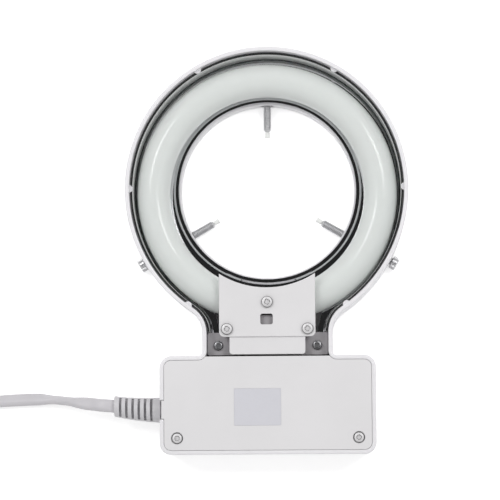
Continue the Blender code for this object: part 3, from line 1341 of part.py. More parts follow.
def build_plug(x, y, z):
    """The flat two-pin plug at the cord's end, its pins pointing along +Y."""
    rings = []
    shares = zip(PLUG_LENGTH_SHARES, PLUG_WIDTH_SHARES, PLUG_HEIGHT_SHARES)
    for along, wide, high in shares:
        ring = []
        for i in range(PLUG_SIDES):
            a = 2 * math.pi * i / PLUG_SIDES
            c, s = math.cos(a), math.sin(a)
            ring.append(Vector((
                x + math.copysign(abs(c) ** 0.6, c) * PLUG_HALF_WIDTH * wide,
                y + PLUG_LENGTH * along,
                z + math.copysign(abs(s) ** 0.6, s) * PLUG_HALF_HEIGHT * high)))
        rings.append(ring)
    bm = bmesh.new()
    add_loft(bm, rings)
    body = add_part("plug_body", mesh_from(bm, "plug_body"), "relief_grey")
    face = y + PLUG_LENGTH
    bm = bmesh.new()
    for side in (-1, 1):
        px = x + side * PLUG_PIN_SPACING / 2
        add_cylinder(bm, PLUG_PIN_RADIUS + GAP, (px, face - PLUG_PIN_INSET - GAP, z),
                     (px, face + OVERRUN, z), SMALL_STEPS)
    boolean(body, add_cutter("pin_seats", mesh_from(bm, "pin_seats")))
    for side in (-1, 1):
        px = x + side * PLUG_PIN_SPACING / 2
        name = f"plug_pin_{'left' if side < 0 else 'right'}"
        nose = PLUG_PIN_RADIUS / 2
        profile = (
            (0, PLUG_PIN_LENGTH),
            (PLUG_PIN_RADIUS - nose, PLUG_PIN_LENGTH),
            (PLUG_PIN_RADIUS, PLUG_PIN_LENGTH - nose),
            (PLUG_PIN_RADIUS, -PLUG_PIN_INSET),
            (0, -PLUG_PIN_INSET),
        )
        mesh = aimed(turned_mesh(name, profile), (px, face, z), (0, 1, 0))
        add_part(name, mesh, "screw_steel")


# Ballast electronics

def build_board():
    """The ballast board on its posts, with its screws and components."""
    low = (BOARD_X - BOARD_HALF_LENGTH, -BOARD_Y - BOARD_HALF_WIDTH, BOARD_BOTTOM)
    high = (BOARD_X + BOARD_HALF_LENGTH, -BOARD_Y + BOARD_HALF_WIDTH, BOARD_TOP)
    board = add_part("ballast_board", box_mesh("ballast_board", low, high), "board_green")
    bm = bmesh.new()
    for _, x, y in board_screw_places():
        add_cylinder(bm, PAN_SHANK_RADIUS + GAP, (x, y, BOARD_BOTTOM - OVERRUN),
                     (x, y, BOARD_TOP + OVERRUN))
    boolean(board, add_cutter("board_holes", mesh_from(bm, "board_holes")))
    for name, x, y in board_screw_places():
        add_screw(name, (x, y, BOARD_TOP + GAP), BOARD_HEAD_RADIUS, BOARD_HEAD_HEIGHT,
                  BOARD_SHANK_LENGTH, "screw_steel")
    foot = BOARD_TOP + GAP
    build_choke(foot)
    rim = RESERVOIR_RADIUS / 8
    mesh = turned_mesh("reservoir_capacitor", (
        (0, RESERVOIR_HEIGHT),
        (RESERVOIR_RADIUS - rim, RESERVOIR_HEIGHT),
        (RESERVOIR_RADIUS, RESERVOIR_HEIGHT - rim),
        (RESERVOIR_RADIUS, rim * 4),
        (RESERVOIR_RADIUS - rim / 2, rim * 3),
        (RESERVOIR_RADIUS, rim * 2),
        (RESERVOIR_RADIUS, 0),
        (0, 0),
    ), SCREW_STEPS)
    mesh.transform(Matrix.Translation(on_board(RESERVOIR_AT, foot)))
    add_part("reservoir_capacitor", mesh, "black_plastic")
    for name, at in FILM_AT.items():
        add_block(name, on_board(at, foot), FILM_SIZE, "film_red")
    for name, at in TRANSISTOR_AT.items():
        add_block(name, on_board(at, foot), TRANSISTOR_SIZE, "black_plastic")
    mesh = turned_mesh("fuse", (
        (0, FUSE_LENGTH),
        (FUSE_RADIUS * 0.7, FUSE_LENGTH),
        (FUSE_RADIUS, FUSE_LENGTH * 0.85),
        (FUSE_RADIUS, 0),
        (0, 0),
    ))
    mesh.transform(Matrix.Translation(on_board(FUSE_AT, foot)))
    add_part("fuse", mesh, "board_green")


def on_board(at, height):
    """A place given from the middle of the board, at a height."""
    return Vector((BOARD_X + at[0] * BOARD_STRETCH, -BOARD_Y + at[1], height))


def add_block(name, place, size, finish_name):
    """A block with softened edges standing on the board."""
    length, width, height = size
    low = place - Vector((length / 2, width / 2, 0))
    high = place + Vector((length / 2, width / 2, height))
    block = add_part(name, box_mesh(name, low, high), finish_name)
    bevel_edges(block, EDGE_BREAK, 1)


def build_choke(foot):
    """The choke: a bobbin with two flanges inside a ferrite frame, as one solid."""
    x, y, _ = on_board(CHOKE_AT, foot)
    length, width, height = CHOKE_SIZE
    low = (x - length / 2, y - width / 2, foot)
    high = (x + length / 2, y + width / 2, foot + height)
    choke = add_part("choke", box_mesh("choke", low, high), "ferrite")
    window = length / 2 - CHOKE_FLANGE * 2
    grooves = bmesh.new()
    for side in (-1, 1):
        edge = y + side * width / 2
        deep = edge - side * CHOKE_FLANGE
        add_box(grooves, (x - window, min(edge + side * OVERRUN, deep), foot + CHOKE_FLANGE),
                (x + window, max(edge + side * OVERRUN, deep), foot + height - CHOKE_FLANGE))
    boolean(choke, add_cutter("choke_windows", mesh_from(grooves, "choke_windows")))


# Power switch

def build_switch():
    """The rocker switch in its well, seen only from behind the light."""
    x, y = SWITCH_X, -SWITCH_Y
    frame = add_part("switch_body", box_mesh(
        "switch_body", (x - BEZEL_HALF_LENGTH, y - BEZEL_HALF_WIDTH, BEZEL_BOTTOM),
        (x + BEZEL_HALF_LENGTH, y + BEZEL_HALF_WIDTH, BEZEL_TOP)), "black_plastic")
    bevel_edges(frame, EDGE_BREAK, 1)
    boolean(frame, add_cutter("switch_case", box_mesh(
        "switch_case", (x - SWITCH_BODY_HALF_LENGTH, y - SWITCH_BODY_HALF_WIDTH,
                        BEZEL_TOP - SINK),
        (x + SWITCH_BODY_HALF_LENGTH, y + SWITCH_BODY_HALF_WIDTH, SWITCH_BODY_TOP))), "UNION")
    room = ROCKER_HALF_LENGTH + GAP * 2
    depth = ROCKER_AXIS_Z + ROCKER_SWEEP_ROOM
    boolean(frame, add_cutter("rocker_room", box_mesh(
        "rocker_room", (x - room, y - ROCKER_HALF_WIDTH - GAP, BEZEL_BOTTOM - OVERRUN),
        (x + room, y + ROCKER_HALF_WIDTH + GAP, depth))))
    reach = ROCKER_HALF_WIDTH + ROCKER_PIN_REACH + GAP
    boolean(frame, add_cutter("pivot_holes", cylinder_mesh(
        "pivot_holes", ROCKER_PIN_RADIUS + GAP, (x, y - reach, ROCKER_AXIS_Z),
        (x, y + reach, ROCKER_AXIS_Z), 12)))
    pivot = Vector((x, y, ROCKER_AXIS_Z))
    drop = ROCKER_AXIS_Z - BEZEL_BOTTOM
    half = ROCKER_HALF_LENGTH
    profile = (
        (-half, -drop - ROCKER_DISH), (0, -drop), (half, -drop - ROCKER_DISH),
        (half, ROCKER_BACK - ROCKER_ARM), (ROCKER_KEEL, ROCKER_BACK), (-ROCKER_KEEL, ROCKER_BACK),
        (-half, ROCKER_BACK - ROCKER_ARM))
    mesh = flat_mesh("switch_rocker", profile, -ROCKER_HALF_WIDTH, ROCKER_HALF_WIDTH)
    tilt = Matrix.Rotation(ROCKER_REST_TILT, 4, "Y")
    stand = Matrix.Rotation(math.pi / 2, 4, "X")
    mesh.transform(Matrix.Translation(pivot) @ tilt @ stand)
    rocker = add_part("switch_rocker", mesh, "black_plastic", pivot)
    reach = ROCKER_HALF_WIDTH + ROCKER_PIN_REACH
    boolean(rocker, add_cutter("rocker_axle", cylinder_mesh(
        "rocker_axle", ROCKER_PIN_RADIUS, (x, y - reach, ROCKER_AXIS_Z),
        (x, y + reach, ROCKER_AXIS_Z), 12)), "UNION")
    long, wide, tall = TERMINAL_SIZE
    for i, side in enumerate((-1, 1)):
        tx = x + side * TERMINAL_SPACING / 2
        foot = SWITCH_BODY_TOP + GAP
        add_part(f"switch_terminal_{i + 1}", box_mesh(
            f"switch_terminal_{i + 1}", (tx - long / 2, y - wide / 2, foot),
            (tx + long / 2, y + wide / 2, foot + tall)), "brass")


# Wires and cord clamp

def build_wiring():
    """The cord's jacket inside the box, its clamp, and the wires to switch, board and lamp."""
    inner = -BOX_HALF_WIDTH + HOUSING_WALL + GAP + RELIEF_FLANGE + GAP
    jacket_end = inner + JACKET_LENGTH
    z = RELIEF_HEIGHT
    add_part("cord_jacket_end", cylinder_mesh(
        "cord_jacket_end", CORD_RADIUS, (inner, -RELIEF_Y, z), (jacket_end, -RELIEF_Y, z), 12),
        "cord_grey")
    clamp_low = (CLAMP_X - CLAMP_LENGTH / 2, -RELIEF_Y - CLAMP_HALF_WIDTH, z + GAP)
    clamp_high = (CLAMP_X + CLAMP_LENGTH / 2, -RELIEF_Y + CLAMP_HALF_WIDTH,
                  z + CORD_RADIUS + CLAMP_THICKNESS)
    clamp = add_part("cord_clamp", box_mesh("cord_clamp", clamp_low, clamp_high),
                     "black_plastic")
    boolean(clamp, add_cutter("clamp_saddle", cylinder_mesh(
        "clamp_saddle", CORD_RADIUS + GAP, (inner - OVERRUN, -RELIEF_Y, z),
        (jacket_end + OVERRUN, -RELIEF_Y, z), 12)))
    top = clamp_high[2]
    bm = bmesh.new()
    for _, y in clamp_screw_places():
        add_cylinder(bm, PAN_SHANK_RADIUS + GAP, (CLAMP_X, y, z - OVERRUN),
                     (CLAMP_X, y, top + OVERRUN))
    boolean(clamp, add_cutter("clamp_holes", mesh_from(bm, "clamp_holes")))
    for name, y in clamp_screw_places():
        add_screw(name, (CLAMP_X, y, top + GAP), CLAMP_HEAD_RADIUS, CLAMP_HEAD_HEIGHT,
                  PAN_SHANK_LENGTH, "screw_steel")
    core = jacket_end + GAP
    live, neutral = -RELIEF_Y - WIRE_SPREAD, -RELIEF_Y + WIRE_SPREAD
    over_terminals = SWITCH_BODY_TOP + GAP + TERMINAL_SIZE[2] + GAP + WIRE_RADIUS
    near_terminal = SWITCH_X - TERMINAL_SPACING / 2
    far_terminal = SWITCH_X + TERMINAL_SPACING / 2
    over_board = BOARD_TOP + GAP + WIRE_RADIUS
    board_edge = BOARD_X - BOARD_HALF_LENGTH
    add_wire("mains_wire_switch", (
        (core, live, z),
        (core + WIRE_LEAD, live, z + WIRE_RISE),
        (near_terminal + WIRE_LEAD, -SWITCH_Y + WIRE_LEAD, over_terminals + WIRE_RISE),
        (near_terminal, -SWITCH_Y, over_terminals),
    ), "wire_brown")
    add_wire("switch_wire_board", (
        (far_terminal, -SWITCH_Y, over_terminals),
        (far_terminal + WIRE_LEAD, -SWITCH_Y, over_terminals - WIRE_RISE),
        (board_edge - WIRE_RISE, -BOARD_Y - WIRE_LEAD * 2, over_board + WIRE_LEAD),
        (board_edge + WIRE_LANDING, -BOARD_Y - WIRE_LEAD * 2, over_board),
    ), "wire_brown")
    add_wire("mains_wire_board", (
        (core, neutral, z),
        (core + WIRE_LEAD, neutral, z),
        (board_edge - WIRE_RISE, -BOARD_Y - WIRE_LEAD / 2, over_board + WIRE_LEAD),
        (board_edge + WIRE_LANDING, -BOARD_Y - WIRE_LEAD / 2, over_board),
    ), "wire_white")
    board_near = -BOARD_Y + BOARD_HALF_WIDTH
    for i in range(4):
        x = LAMP_WIRE_SPACING * (i - 1.5)
        low = HOLDER_FLOOR + LAMP_WIRE_HEIGHT
        add_wire(f"lamp_wire_{i + 1}", (
            (x, -HOLDER_END - GAP, low),
            (x, -HOLDER_END - WIRE_LEAD, low),
            (x, board_near + WIRE_RISE / 2, over_board + WIRE_RISE),
            (x, board_near - WIRE_LANDING, over_board),
        ), "wire_white")


def add_wire(name, route, finish_name):
    """A thin insulated wire through a few points."""
    points = smooth_route([Vector(p) for p in route], WIRE_RADIUS * 2.5)
    add_part(name, tube_mesh(name, points, WIRE_RADIUS, 1), finish_name)


def main():
    """Build every piece."""
    clear_scene()
    make_collections()
    build_housing()
    build_reflector()
    build_lamp()
    build_holder()
    build_plate()
    build_cover()
    for side, angle in SCREW_ANGLES.items():
        build_thumbscrew(side, angle)
    build_relief()
    build_cord()
    build_board()
    build_switch()
    build_wiring()


main()
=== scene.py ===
"""Looks of a fluorescent ring light for a stereo microscope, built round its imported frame.

Lengths are metres in the frame's own axes: +Z is up and +Y points from the ballast box to the
ring. Each class holds one sub-assembly: its sizes are fields, and its methods model and dress it.
"""
import json
import logging
import math
from dataclasses import dataclass
from enum import Enum
from typing import Any, Iterable, Sequence

import bmesh
import bpy
from bmesh.types import BMEdge, BMesh, BMFace, BMVert
from mathutils import Matrix, Vector


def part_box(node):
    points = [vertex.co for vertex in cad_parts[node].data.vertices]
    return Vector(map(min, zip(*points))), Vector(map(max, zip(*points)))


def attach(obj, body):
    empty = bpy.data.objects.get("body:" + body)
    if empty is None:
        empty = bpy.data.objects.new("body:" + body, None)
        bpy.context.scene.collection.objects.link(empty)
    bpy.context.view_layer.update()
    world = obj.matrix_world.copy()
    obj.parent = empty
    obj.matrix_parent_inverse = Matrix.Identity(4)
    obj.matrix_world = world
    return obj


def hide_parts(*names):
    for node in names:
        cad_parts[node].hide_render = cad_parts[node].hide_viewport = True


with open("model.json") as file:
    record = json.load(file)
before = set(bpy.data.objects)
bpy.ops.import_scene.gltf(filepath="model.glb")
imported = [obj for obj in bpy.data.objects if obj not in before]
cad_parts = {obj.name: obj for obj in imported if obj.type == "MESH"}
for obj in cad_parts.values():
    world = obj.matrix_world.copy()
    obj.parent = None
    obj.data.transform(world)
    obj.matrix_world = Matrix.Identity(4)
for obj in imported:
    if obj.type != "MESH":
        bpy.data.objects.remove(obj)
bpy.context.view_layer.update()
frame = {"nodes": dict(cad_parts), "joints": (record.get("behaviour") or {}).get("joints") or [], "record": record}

LOG = logging.getLogger("ring_light")
LIGHT_BODY = "light"
WELD = 0.000001
LEVEL = 0.00002
OVERRUN = 0.002
SINK = 0.0005
GAP = 0.0003
MM = 0.001
FULL_TURN = 2 * math.pi
QUARTER_TURN = math.pi / 2
FINE_ARC = math.radians(1.5)
CORNER_ARC = math.radians(9)
RING_STEPS = 240
WHITE = (1.0, 1.0, 1.0, 1.0)
SIDES = ("top", "left", "right")
SCREW_ANGLES = tuple(map(math.radians, (90, 210, 330)))

Pair = tuple[float, float]
Triple = tuple[float, float, float]


# Finishes

class Nodes:
    """Adds and links the nodes of a node tree."""

    def __init__(self, tree: bpy.types.NodeTree) -> None:
        """Work on a tree."""
        self.tree = tree

    def feed(self, socket: bpy.types.NodeSocket, value: Any) -> None:
        """Link an output to a socket, or set its value."""
        if isinstance(value, bpy.types.NodeSocket):
            self.tree.links.new(value, socket)
        else:
            socket.default_value = value

    def fill(self, node: bpy.types.Node, inputs: dict[str, Any]) -> None:
        """Set or link inputs of a node, by name with _ for a space."""
        for name, value in inputs.items():
            self.feed(node.inputs[name.replace("_", " ")], value)

    def add(self, kind: str, **inputs: Any) -> bpy.types.Node:
        """Add a node and set or link its inputs.

        Args:
            kind: the node's type name.
            inputs: a value or an output socket for each input, by name with _ for a space.

        Returns:
            The new node.
        """
        node = self.tree.nodes.new(kind)
        self.fill(node, inputs)
        return node

    def math(self, operation: str, *values: Any) -> bpy.types.NodeSocket:
        """The result of a math node on values or output sockets."""
        node = self.tree.nodes.new("ShaderNodeMath")
        node.operation = operation
        for socket, value in zip(node.inputs, values):
            self.feed(socket, value)
        return node.outputs["Value"]

    def spread(self, pattern: bpy.types.NodeSocket, low: float, high: float,
               part: Pair = (0.3, 0.7)) -> bpy.types.NodeSocket:
        """Stretch a part of a pattern, by default its middle, to run from low to high."""
        node = self.add("ShaderNodeMapRange", Value=pattern, From_Min=part[0], From_Max=part[1],
                        To_Min=low, To_Max=high)
        return node.outputs["Result"]

    def by_ray(self, shown: float, otherwise: float) -> bpy.types.NodeSocket:
        """A value for camera, glossy and transmission rays, and another for the rest.

        Args:
            shown: the value for those rays.
            otherwise: the value for the others.

        Returns:
            The value's socket.
        """
        rays = self.add("ShaderNodeLightPath").outputs
        first = self.math("MAXIMUM", rays["Is Camera Ray"], rays["Is Glossy Ray"])
        both = self.math("MAXIMUM", first, rays["Is Transmission Ray"])
        return self.spread(both, otherwise, shown, (0.0, 1.0))


def toned(colour: Triple, factor: float) -> Triple:
    """A colour made darker or lighter by a factor."""
    return tuple(min(1.0, c * factor) for c in colour)


class Graph(Nodes):
    """Adds and links the nodes of one material."""

    def __init__(self, name: str) -> None:
        """Start a material with its shader and output.

        Args:
            name: the material's name.
        """
        self.material = bpy.data.materials.new(name)
        self.material.use_nodes = True
        super().__init__(self.material.node_tree)
        self.place = self.add("ShaderNodeTexCoord").outputs["Object"]

    def surface(self, **inputs: Any) -> None:
        """Set or link inputs of the shader, by name with _ for a space."""
        self.fill(self.tree.nodes["Principled BSDF"], inputs)

    def level(self) -> bpy.types.NodeSocket:
        """How far the surface faces up, in the piece's own axes."""
        normal = self.add("ShaderNodeTexCoord").outputs["Normal"]
        return self.add("ShaderNodeSeparateXYZ", Vector=normal).outputs["Z"]

    def scaled(self, size: float | Triple) -> bpy.types.NodeSocket:
        """Object coordinates divided by a size, or by one along each axis."""
        sizes = size if isinstance(size, tuple) else (size, size, size)
        scale = tuple(1 / s for s in sizes)
        return self.add("ShaderNodeMapping", Vector=self.place, Scale=scale).outputs["Vector"]

    def noise(self, size: float | Triple, detail: float = 3.0,
              roughness: float = 0.5) -> bpy.types.NodeSocket:
        """A noise pattern.

        Args:
            size: size of its lumps in metres, or one along each axis.
            detail: octaves of finer noise.
            roughness: how strong the finer noise is.

        Returns:
            The pattern's socket.
        """
        node = self.add("ShaderNodeTexNoise", Vector=self.scaled(size), Scale=1.0, Detail=detail,
                        Roughness=roughness)
        return node.outputs["Fac"]

    def clouds(self, size: float, detail: float, roughness: float = 0.5) -> bpy.types.NodeSocket:
        """A noise pattern whose middle is stretched to run from 0 to 1."""
        return self.spread(self.noise(size, detail, roughness), 0.0, 1.0)

    def blend(self, pattern: bpy.types.NodeSocket, first: Any, second: Any
              ) -> bpy.types.NodeSocket:
        """Mix two colours, or sockets of colours, by a pattern that runs from 0 to 1."""
        node = self.tree.nodes.new("ShaderNodeMix")
        node.data_type = "RGBA"
        self.feed(node.inputs[0], pattern)
        for socket, colour in ((node.inputs[6], first), (node.inputs[7], second)):
            self.feed(socket, (*colour, 1.0) if isinstance(colour, tuple) else colour)
        return node.outputs[2]

    def mottled(self, pattern: bpy.types.NodeSocket, colour: Triple, tones: Pair
                ) -> bpy.types.NodeSocket:
        """A colour whose tone runs between two factors by a pattern."""
        return self.blend(pattern, toned(colour, tones[0]), toned(colour, tones[1]))

    def bump(self, pattern: bpy.types.NodeSocket, depth: float) -> bpy.types.NodeSocket:
        """Turn a pattern of a depth in metres into a surface normal."""
        return self.add("ShaderNodeBump", Height=pattern, Distance=depth).outputs["Normal"]


class Finish:
    """A surface finish: each kind paints a material in its own way."""

    def make(self, name: str) -> bpy.types.Material:
        """Build the material.

        Args:
            name: the material's name.

        Returns:
            The new material.
        """
        graph = Graph(name)
        self.paint(graph)
        return graph.material

    def paint(self, graph: Graph) -> None:
        """Set the material's shader up."""
        raise NotImplementedError


@dataclass(frozen=True)
class MouldedPlastic(Finish):
    """Moulded plastic: spark-eroded grain, faint flow clouds and handling marks."""

    colour: Triple
    roughness: float = 0.35
    roughness_change: Pair = (-0.05, 0.07)
    grain: float = 0.0004
    grain_depth: float = 0.000006
    cloud: float = 0.03
    tones: Pair = (0.98, 1.02)
    rubbing: Triple = (0.004, 0.0011, 0.004)
    coat: float = 0.0
    glow: float = 0.0
    glow_depth: float = 1.5

    def paint(self, graph: Graph) -> None:
        """Set the material's shader up."""
        low, high = self.roughness_change
        rubbed = graph.noise(self.rubbing, detail=5.0, roughness=0.7)
        graph.surface(
            Base_Color=graph.mottled(graph.clouds(self.cloud, 4.0), self.colour, self.tones),
            Roughness=graph.spread(rubbed, self.roughness + low, self.roughness + high),
            Normal=graph.bump(graph.noise(self.grain, detail=2.0), self.grain_depth),
            Coat_Weight=self.coat, Subsurface_Weight=self.glow,
            Subsurface_Radius=(MM, MM, MM), Subsurface_Scale=self.glow_depth)


@dataclass(frozen=True)
class PlatedMetal(Finish):
    """Plated metal: drawn lines, slow waves, dull specks, and painted shade that darkens its steep faces."""

    colour: Triple
    roughness: float = 0.2
    roughness_change: Pair = (0.8, 1.25)
    metal: float = 1.0
    # Painted shade: steep faces blend towards the colour times the shade tone, by this strength.
    grime: float = 0.0
    grime_tone: float = 0.08
    steep: Pair = (0.6, 0.97)
    line: Triple = (0.00015, 0.006, 0.00015)
    line_depth: float = 0.000002
    speck: float = 0.004
    tones: Pair = (0.92, 1.0)
    wave: float = 0.02
    wave_depth: float = 0.000004

    def paint(self, graph: Graph) -> None:
        """Set the material's shader up."""
        unshaded = graph.mottled(graph.clouds(self.speck, 5.0, 0.65), self.colour, self.tones)
        level = graph.math("ABSOLUTE", graph.level())
        lines = graph.noise(self.line)
        low, high = self.roughness_change
        waves = graph.bump(graph.noise(self.wave, detail=1.0), self.wave_depth)
        drawn = graph.add("ShaderNodeBump", Height=lines, Distance=self.line_depth, Normal=waves)
        # Steep faces get painted shade: the base colour blends towards a darker tone there.
        graph.surface(
            Base_Color=graph.blend(graph.spread(level, self.grime, 0.0, self.steep), unshaded,
                                   toned(self.colour, self.grime_tone)),
            Metallic=self.metal,
            Roughness=graph.spread(lines, self.roughness * low, self.roughness * high),
            Normal=drawn.outputs["Normal"])


@dataclass(frozen=True)
class DrawnReflector(Finish):
    """Drawn reflector sheet: mirror-bright floor and bead, satin wall, and a painted dark line of shade along its
    rim's top edge.

    A run is the middle and the half width of a range of heights.
    """

    colour: Triple
    tones: Pair = (0.97, 1.02)
    cloud: float = 0.01
    roughness: Pair = (0.34, 0.42)
    polished: Triple = (0.80, 0.80, 0.82)
    polished_run: Pair = (0.01035, 0.0015)
    polished_roughness: float = 0.15
    cut_edge: Triple = (0.012, 0.012, 0.013)
    # Painted shade: a near-black colour on a thin band of heights at the rim's top edge.
    cut_edge_run: Pair = (0.0253, 0.00004)
    line: Triple = (0.006, 0.0003, 0.006)
    line_depth: float = 0.000002

    def paint(self, graph: Graph) -> None:
        """Set the material's shader up."""
        height = graph.add("ShaderNodeSeparateXYZ", Vector=graph.place).outputs["Z"]
        polish = graph.math("COMPARE", height, *self.polished_run)
        # This mask marks the band of painted shade at the rim's top edge.
        cut = graph.math("COMPARE", height, *self.cut_edge_run)
        lines = graph.noise(self.line, detail=4.0)
        satin = graph.mottled(graph.clouds(self.cloud, 5.0), self.colour, self.tones)
        bright = graph.blend(polish, satin, self.polished)
        graph.surface(
            Base_Color=graph.blend(cut, bright, self.cut_edge),
            Metallic=polish,
            Roughness=graph.math(
                "MULTIPLY", graph.spread(lines, *self.roughness),
                graph.spread(polish, 1.0, self.polished_roughness, (0.0, 1.0))),
            Normal=graph.bump(lines, self.line_depth))


@dataclass(frozen=True)
class PhosphorGlass(Finish):
    """White phosphor powder behind clear glass: chalky and mottled under a sharp gloss."""

    colour: Triple
    mottle: float = 0.006
    tones: Pair = (0.98, 1.0)
    roughness: Pair = (0.5, 0.62)
    wave: float = 0.03
    wave_depth: float = 0.00002
    gloss: float = 0.35
    gloss_roughness: float = 0.12
    reflection: float = 0.2
    scatter: float = 0.8
    scatter_depth: float = 8.0

    def paint(self, graph: Graph) -> None:
        """Set the material's shader up."""
        powder = graph.clouds(self.mottle, 6.0, 0.6)
        graph.surface(
            Base_Color=graph.mottled(powder, self.colour, self.tones),
            Roughness=graph.spread(powder, *self.roughness),
            Coat_Normal=graph.bump(graph.noise(self.wave, detail=1.0), self.wave_depth),
            Coat_Weight=self.gloss, Coat_Roughness=self.gloss_roughness,
            Specular_IOR_Level=self.reflection, Subsurface_Weight=self.scatter,
            Subsurface_Radius=(MM, MM, MM), Subsurface_Scale=self.scatter_depth)


@dataclass(frozen=True)
class SoftVinyl(Finish):
    """Soft vinyl: a dull bloom, fine streaks and a little sheen."""

    colour: Triple
    roughness: float = 0.42
    roughness_change: Pair = (-0.05, 0.08)
    bloom: float = 0.012
    tones: Pair = (0.96, 1.03)
    streak: float = 0.0012
    streak_depth: float = 0.00001
    sheen: float = 0.1

    def paint(self, graph: Graph) -> None:
        """Set the material's shader up."""
        low, high = self.roughness_change
        streaks = graph.noise(self.streak, detail=2.0)
        graph.surface(
            Base_Color=graph.mottled(graph.clouds(self.bloom, 4.0), self.colour, self.tones),
            Roughness=graph.spread(streaks, self.roughness + low, self.roughness + high),
            Normal=graph.bump(streaks, self.streak_depth),
            Sheen_Weight=self.sheen)


@dataclass(frozen=True)
class CoatedPaper(Finish):
    """Coated label paper: fibres, a satin face and faint patches."""

    colour: Triple
    tones: Pair = (0.98, 1.02)
    roughness: Pair = (0.4, 0.52)
    patch: float = 0.005
    fibre: Triple = (0.0015, 0.0003, 0.001)
    fibre_depth: float = 0.000006

    def paint(self, graph: Graph) -> None:
        """Set the material's shader up."""
        fibres = graph.noise(self.fibre, detail=6.0, roughness=0.7)
        graph.surface(
            Base_Color=graph.mottled(graph.spread(fibres, 0.0, 1.0), self.colour, self.tones),
            Roughness=graph.spread(graph.noise(self.patch), *self.roughness),
            Normal=graph.bump(fibres, self.fibre_depth))


@dataclass(frozen=True)
class BoardLaminate(Finish):
    """Printed circuit laminate: green mask over glass weave, with lighter copper tracks."""

    colour: Triple
    roughness: Pair = (0.3, 0.45)
    track: Triple = (0.10, 0.33, 0.17)
    track_pitch: float = 0.0028
    track_share: float = 0.06
    weave: float = 0.0005
    weave_depth: float = 0.00001

    def paint(self, graph: Graph) -> None:
        """Set the material's shader up."""
        tracks = graph.add("ShaderNodeTexBrick", Vector=graph.scaled(self.track_pitch),
                           Scale=1.0, Mortar_Size=self.track_share)
        cloth = graph.noise(self.weave, detail=1.0)
        graph.surface(
            Base_Color=graph.blend(tracks.outputs["Fac"], self.colour, self.track),
            Roughness=graph.spread(cloth, *self.roughness),
            Normal=graph.bump(cloth, self.weave_depth))


@dataclass(frozen=True)
class SinteredFerrite(Finish):
    """Sintered ferrite: dark, dull and speckled."""

    colour: Triple
    tones: Pair = (0.8, 1.5)
    roughness: Pair = (0.55, 0.75)
    patch: float = 0.002
    grain: float = 0.0006
    grain_depth: float = 0.00002

    def paint(self, graph: Graph) -> None:
        """Set the material's shader up."""
        grains = graph.add("ShaderNodeTexVoronoi", Vector=graph.scaled(self.grain), Scale=1.0)
        speckle = grains.outputs["Distance"]
        graph.surface(
            Base_Color=graph.mottled(speckle, self.colour, self.tones),
            Roughness=graph.spread(graph.noise(self.patch), *self.roughness),
            Normal=graph.bump(speckle, self.grain_depth))


class Slot(Enum):
    """The record's material slots, each with its finish, and turned steel as a finish alone."""

    white_housing = MouldedPlastic((0.80, 0.79, 0.81), roughness=0.32, glow=0.4)
    white_cover = MouldedPlastic((0.735, 0.725, 0.735), roughness=0.36)
    reflector_metal = DrawnReflector((0.88, 0.89, 0.88))
    lamp_glass = PhosphorGlass((0.70, 0.725, 0.71))
    grey_holder = MouldedPlastic((0.40, 0.385, 0.40), roughness=0.42)
    # The 0.9 strength here paints shade on the screw heads' steep faces: their edges and recess walls.
    screw_steel = PlatedMetal((0.70, 0.69, 0.70), roughness=0.42, metal=0.35, grime=0.9)
    turned_steel = PlatedMetal((0.62, 0.62, 0.63), roughness=0.4)
    dark_screw = PlatedMetal((0.30, 0.30, 0.31), roughness=0.3)
    brass = PlatedMetal((0.34, 0.33, 0.32), roughness=0.3)
    nylon = MouldedPlastic((0.82, 0.83, 0.81), roughness=0.4, glow=0.3)
    cord_grey = SoftVinyl((0.575, 0.56, 0.585))
    relief_grey = SoftVinyl((0.59, 0.58, 0.60), roughness=0.46)
    board_green = BoardLaminate((0.05, 0.20, 0.10))
    black_plastic = MouldedPlastic((0.03, 0.03, 0.03), roughness=0.4)
    ferrite = SinteredFerrite((0.09, 0.09, 0.10))
    film_red = MouldedPlastic((0.42, 0.09, 0.05), roughness=0.3, coat=0.4)
    label_paper = CoatedPaper((0.62, 0.617, 0.66))
    wire_white = SoftVinyl((0.74, 0.73, 0.70))
    wire_brown = SoftVinyl((0.16, 0.07, 0.04))


# Modelling helpers

def from_mesh(name: str, mesh: bpy.types.Mesh) -> bpy.types.Object:
    """Link a mesh as an object at the origin."""
    made = bpy.data.objects.new(name, mesh)
    bpy.context.scene.collection.objects.link(made)
    return made


def from_bmesh(name: str, bm: BMesh) -> bpy.types.Object:
    """Weld a bmesh, point its faces outwards and link it as an object.

    Args:
        name: the object's name.
        bm: the shape, which is freed.

    Returns:
        The new object.
    """
    bmesh.ops.remove_doubles(bm, verts=bm.verts, dist=WELD)
    bmesh.ops.recalc_face_normals(bm, faces=bm.faces)
    mesh = bpy.data.meshes.new(name)
    bm.to_mesh(mesh)
    bm.free()
    return from_mesh(name, mesh)


def settled_mesh(piece: bpy.types.Object) -> bpy.types.Mesh:
    """The mesh of a piece as its modifiers leave it."""
    bpy.context.view_layer.update()
    graph = bpy.context.evaluated_depsgraph_get()
    return bpy.data.meshes.new_from_object(piece.evaluated_get(graph))


def remove(piece: bpy.types.Object) -> None:
    """Remove a working object."""
    bpy.data.objects.remove(piece, do_unlink=True)


class Meeting(Enum):
    """How a second shape meets a piece."""

    JOIN = "UNION"
    CUT = "DIFFERENCE"


def combine(piece: bpy.types.Object, bm: BMesh, how: Meeting) -> None:
    """Join a shape to a piece, or cut it out.

    Args:
        piece: the piece that changes.
        bm: the other shape, which is freed.
        how: join or cut.
    """
    other = from_bmesh("shape", bm)
    step = piece.modifiers.new("shape", "BOOLEAN")
    step.operation = how.value
    step.solver = "EXACT"
    step.object = other
    mesh, old = settled_mesh(piece), piece.data
    piece.modifiers.clear()
    piece.data = mesh
    bpy.data.meshes.remove(old)
    remove(other)


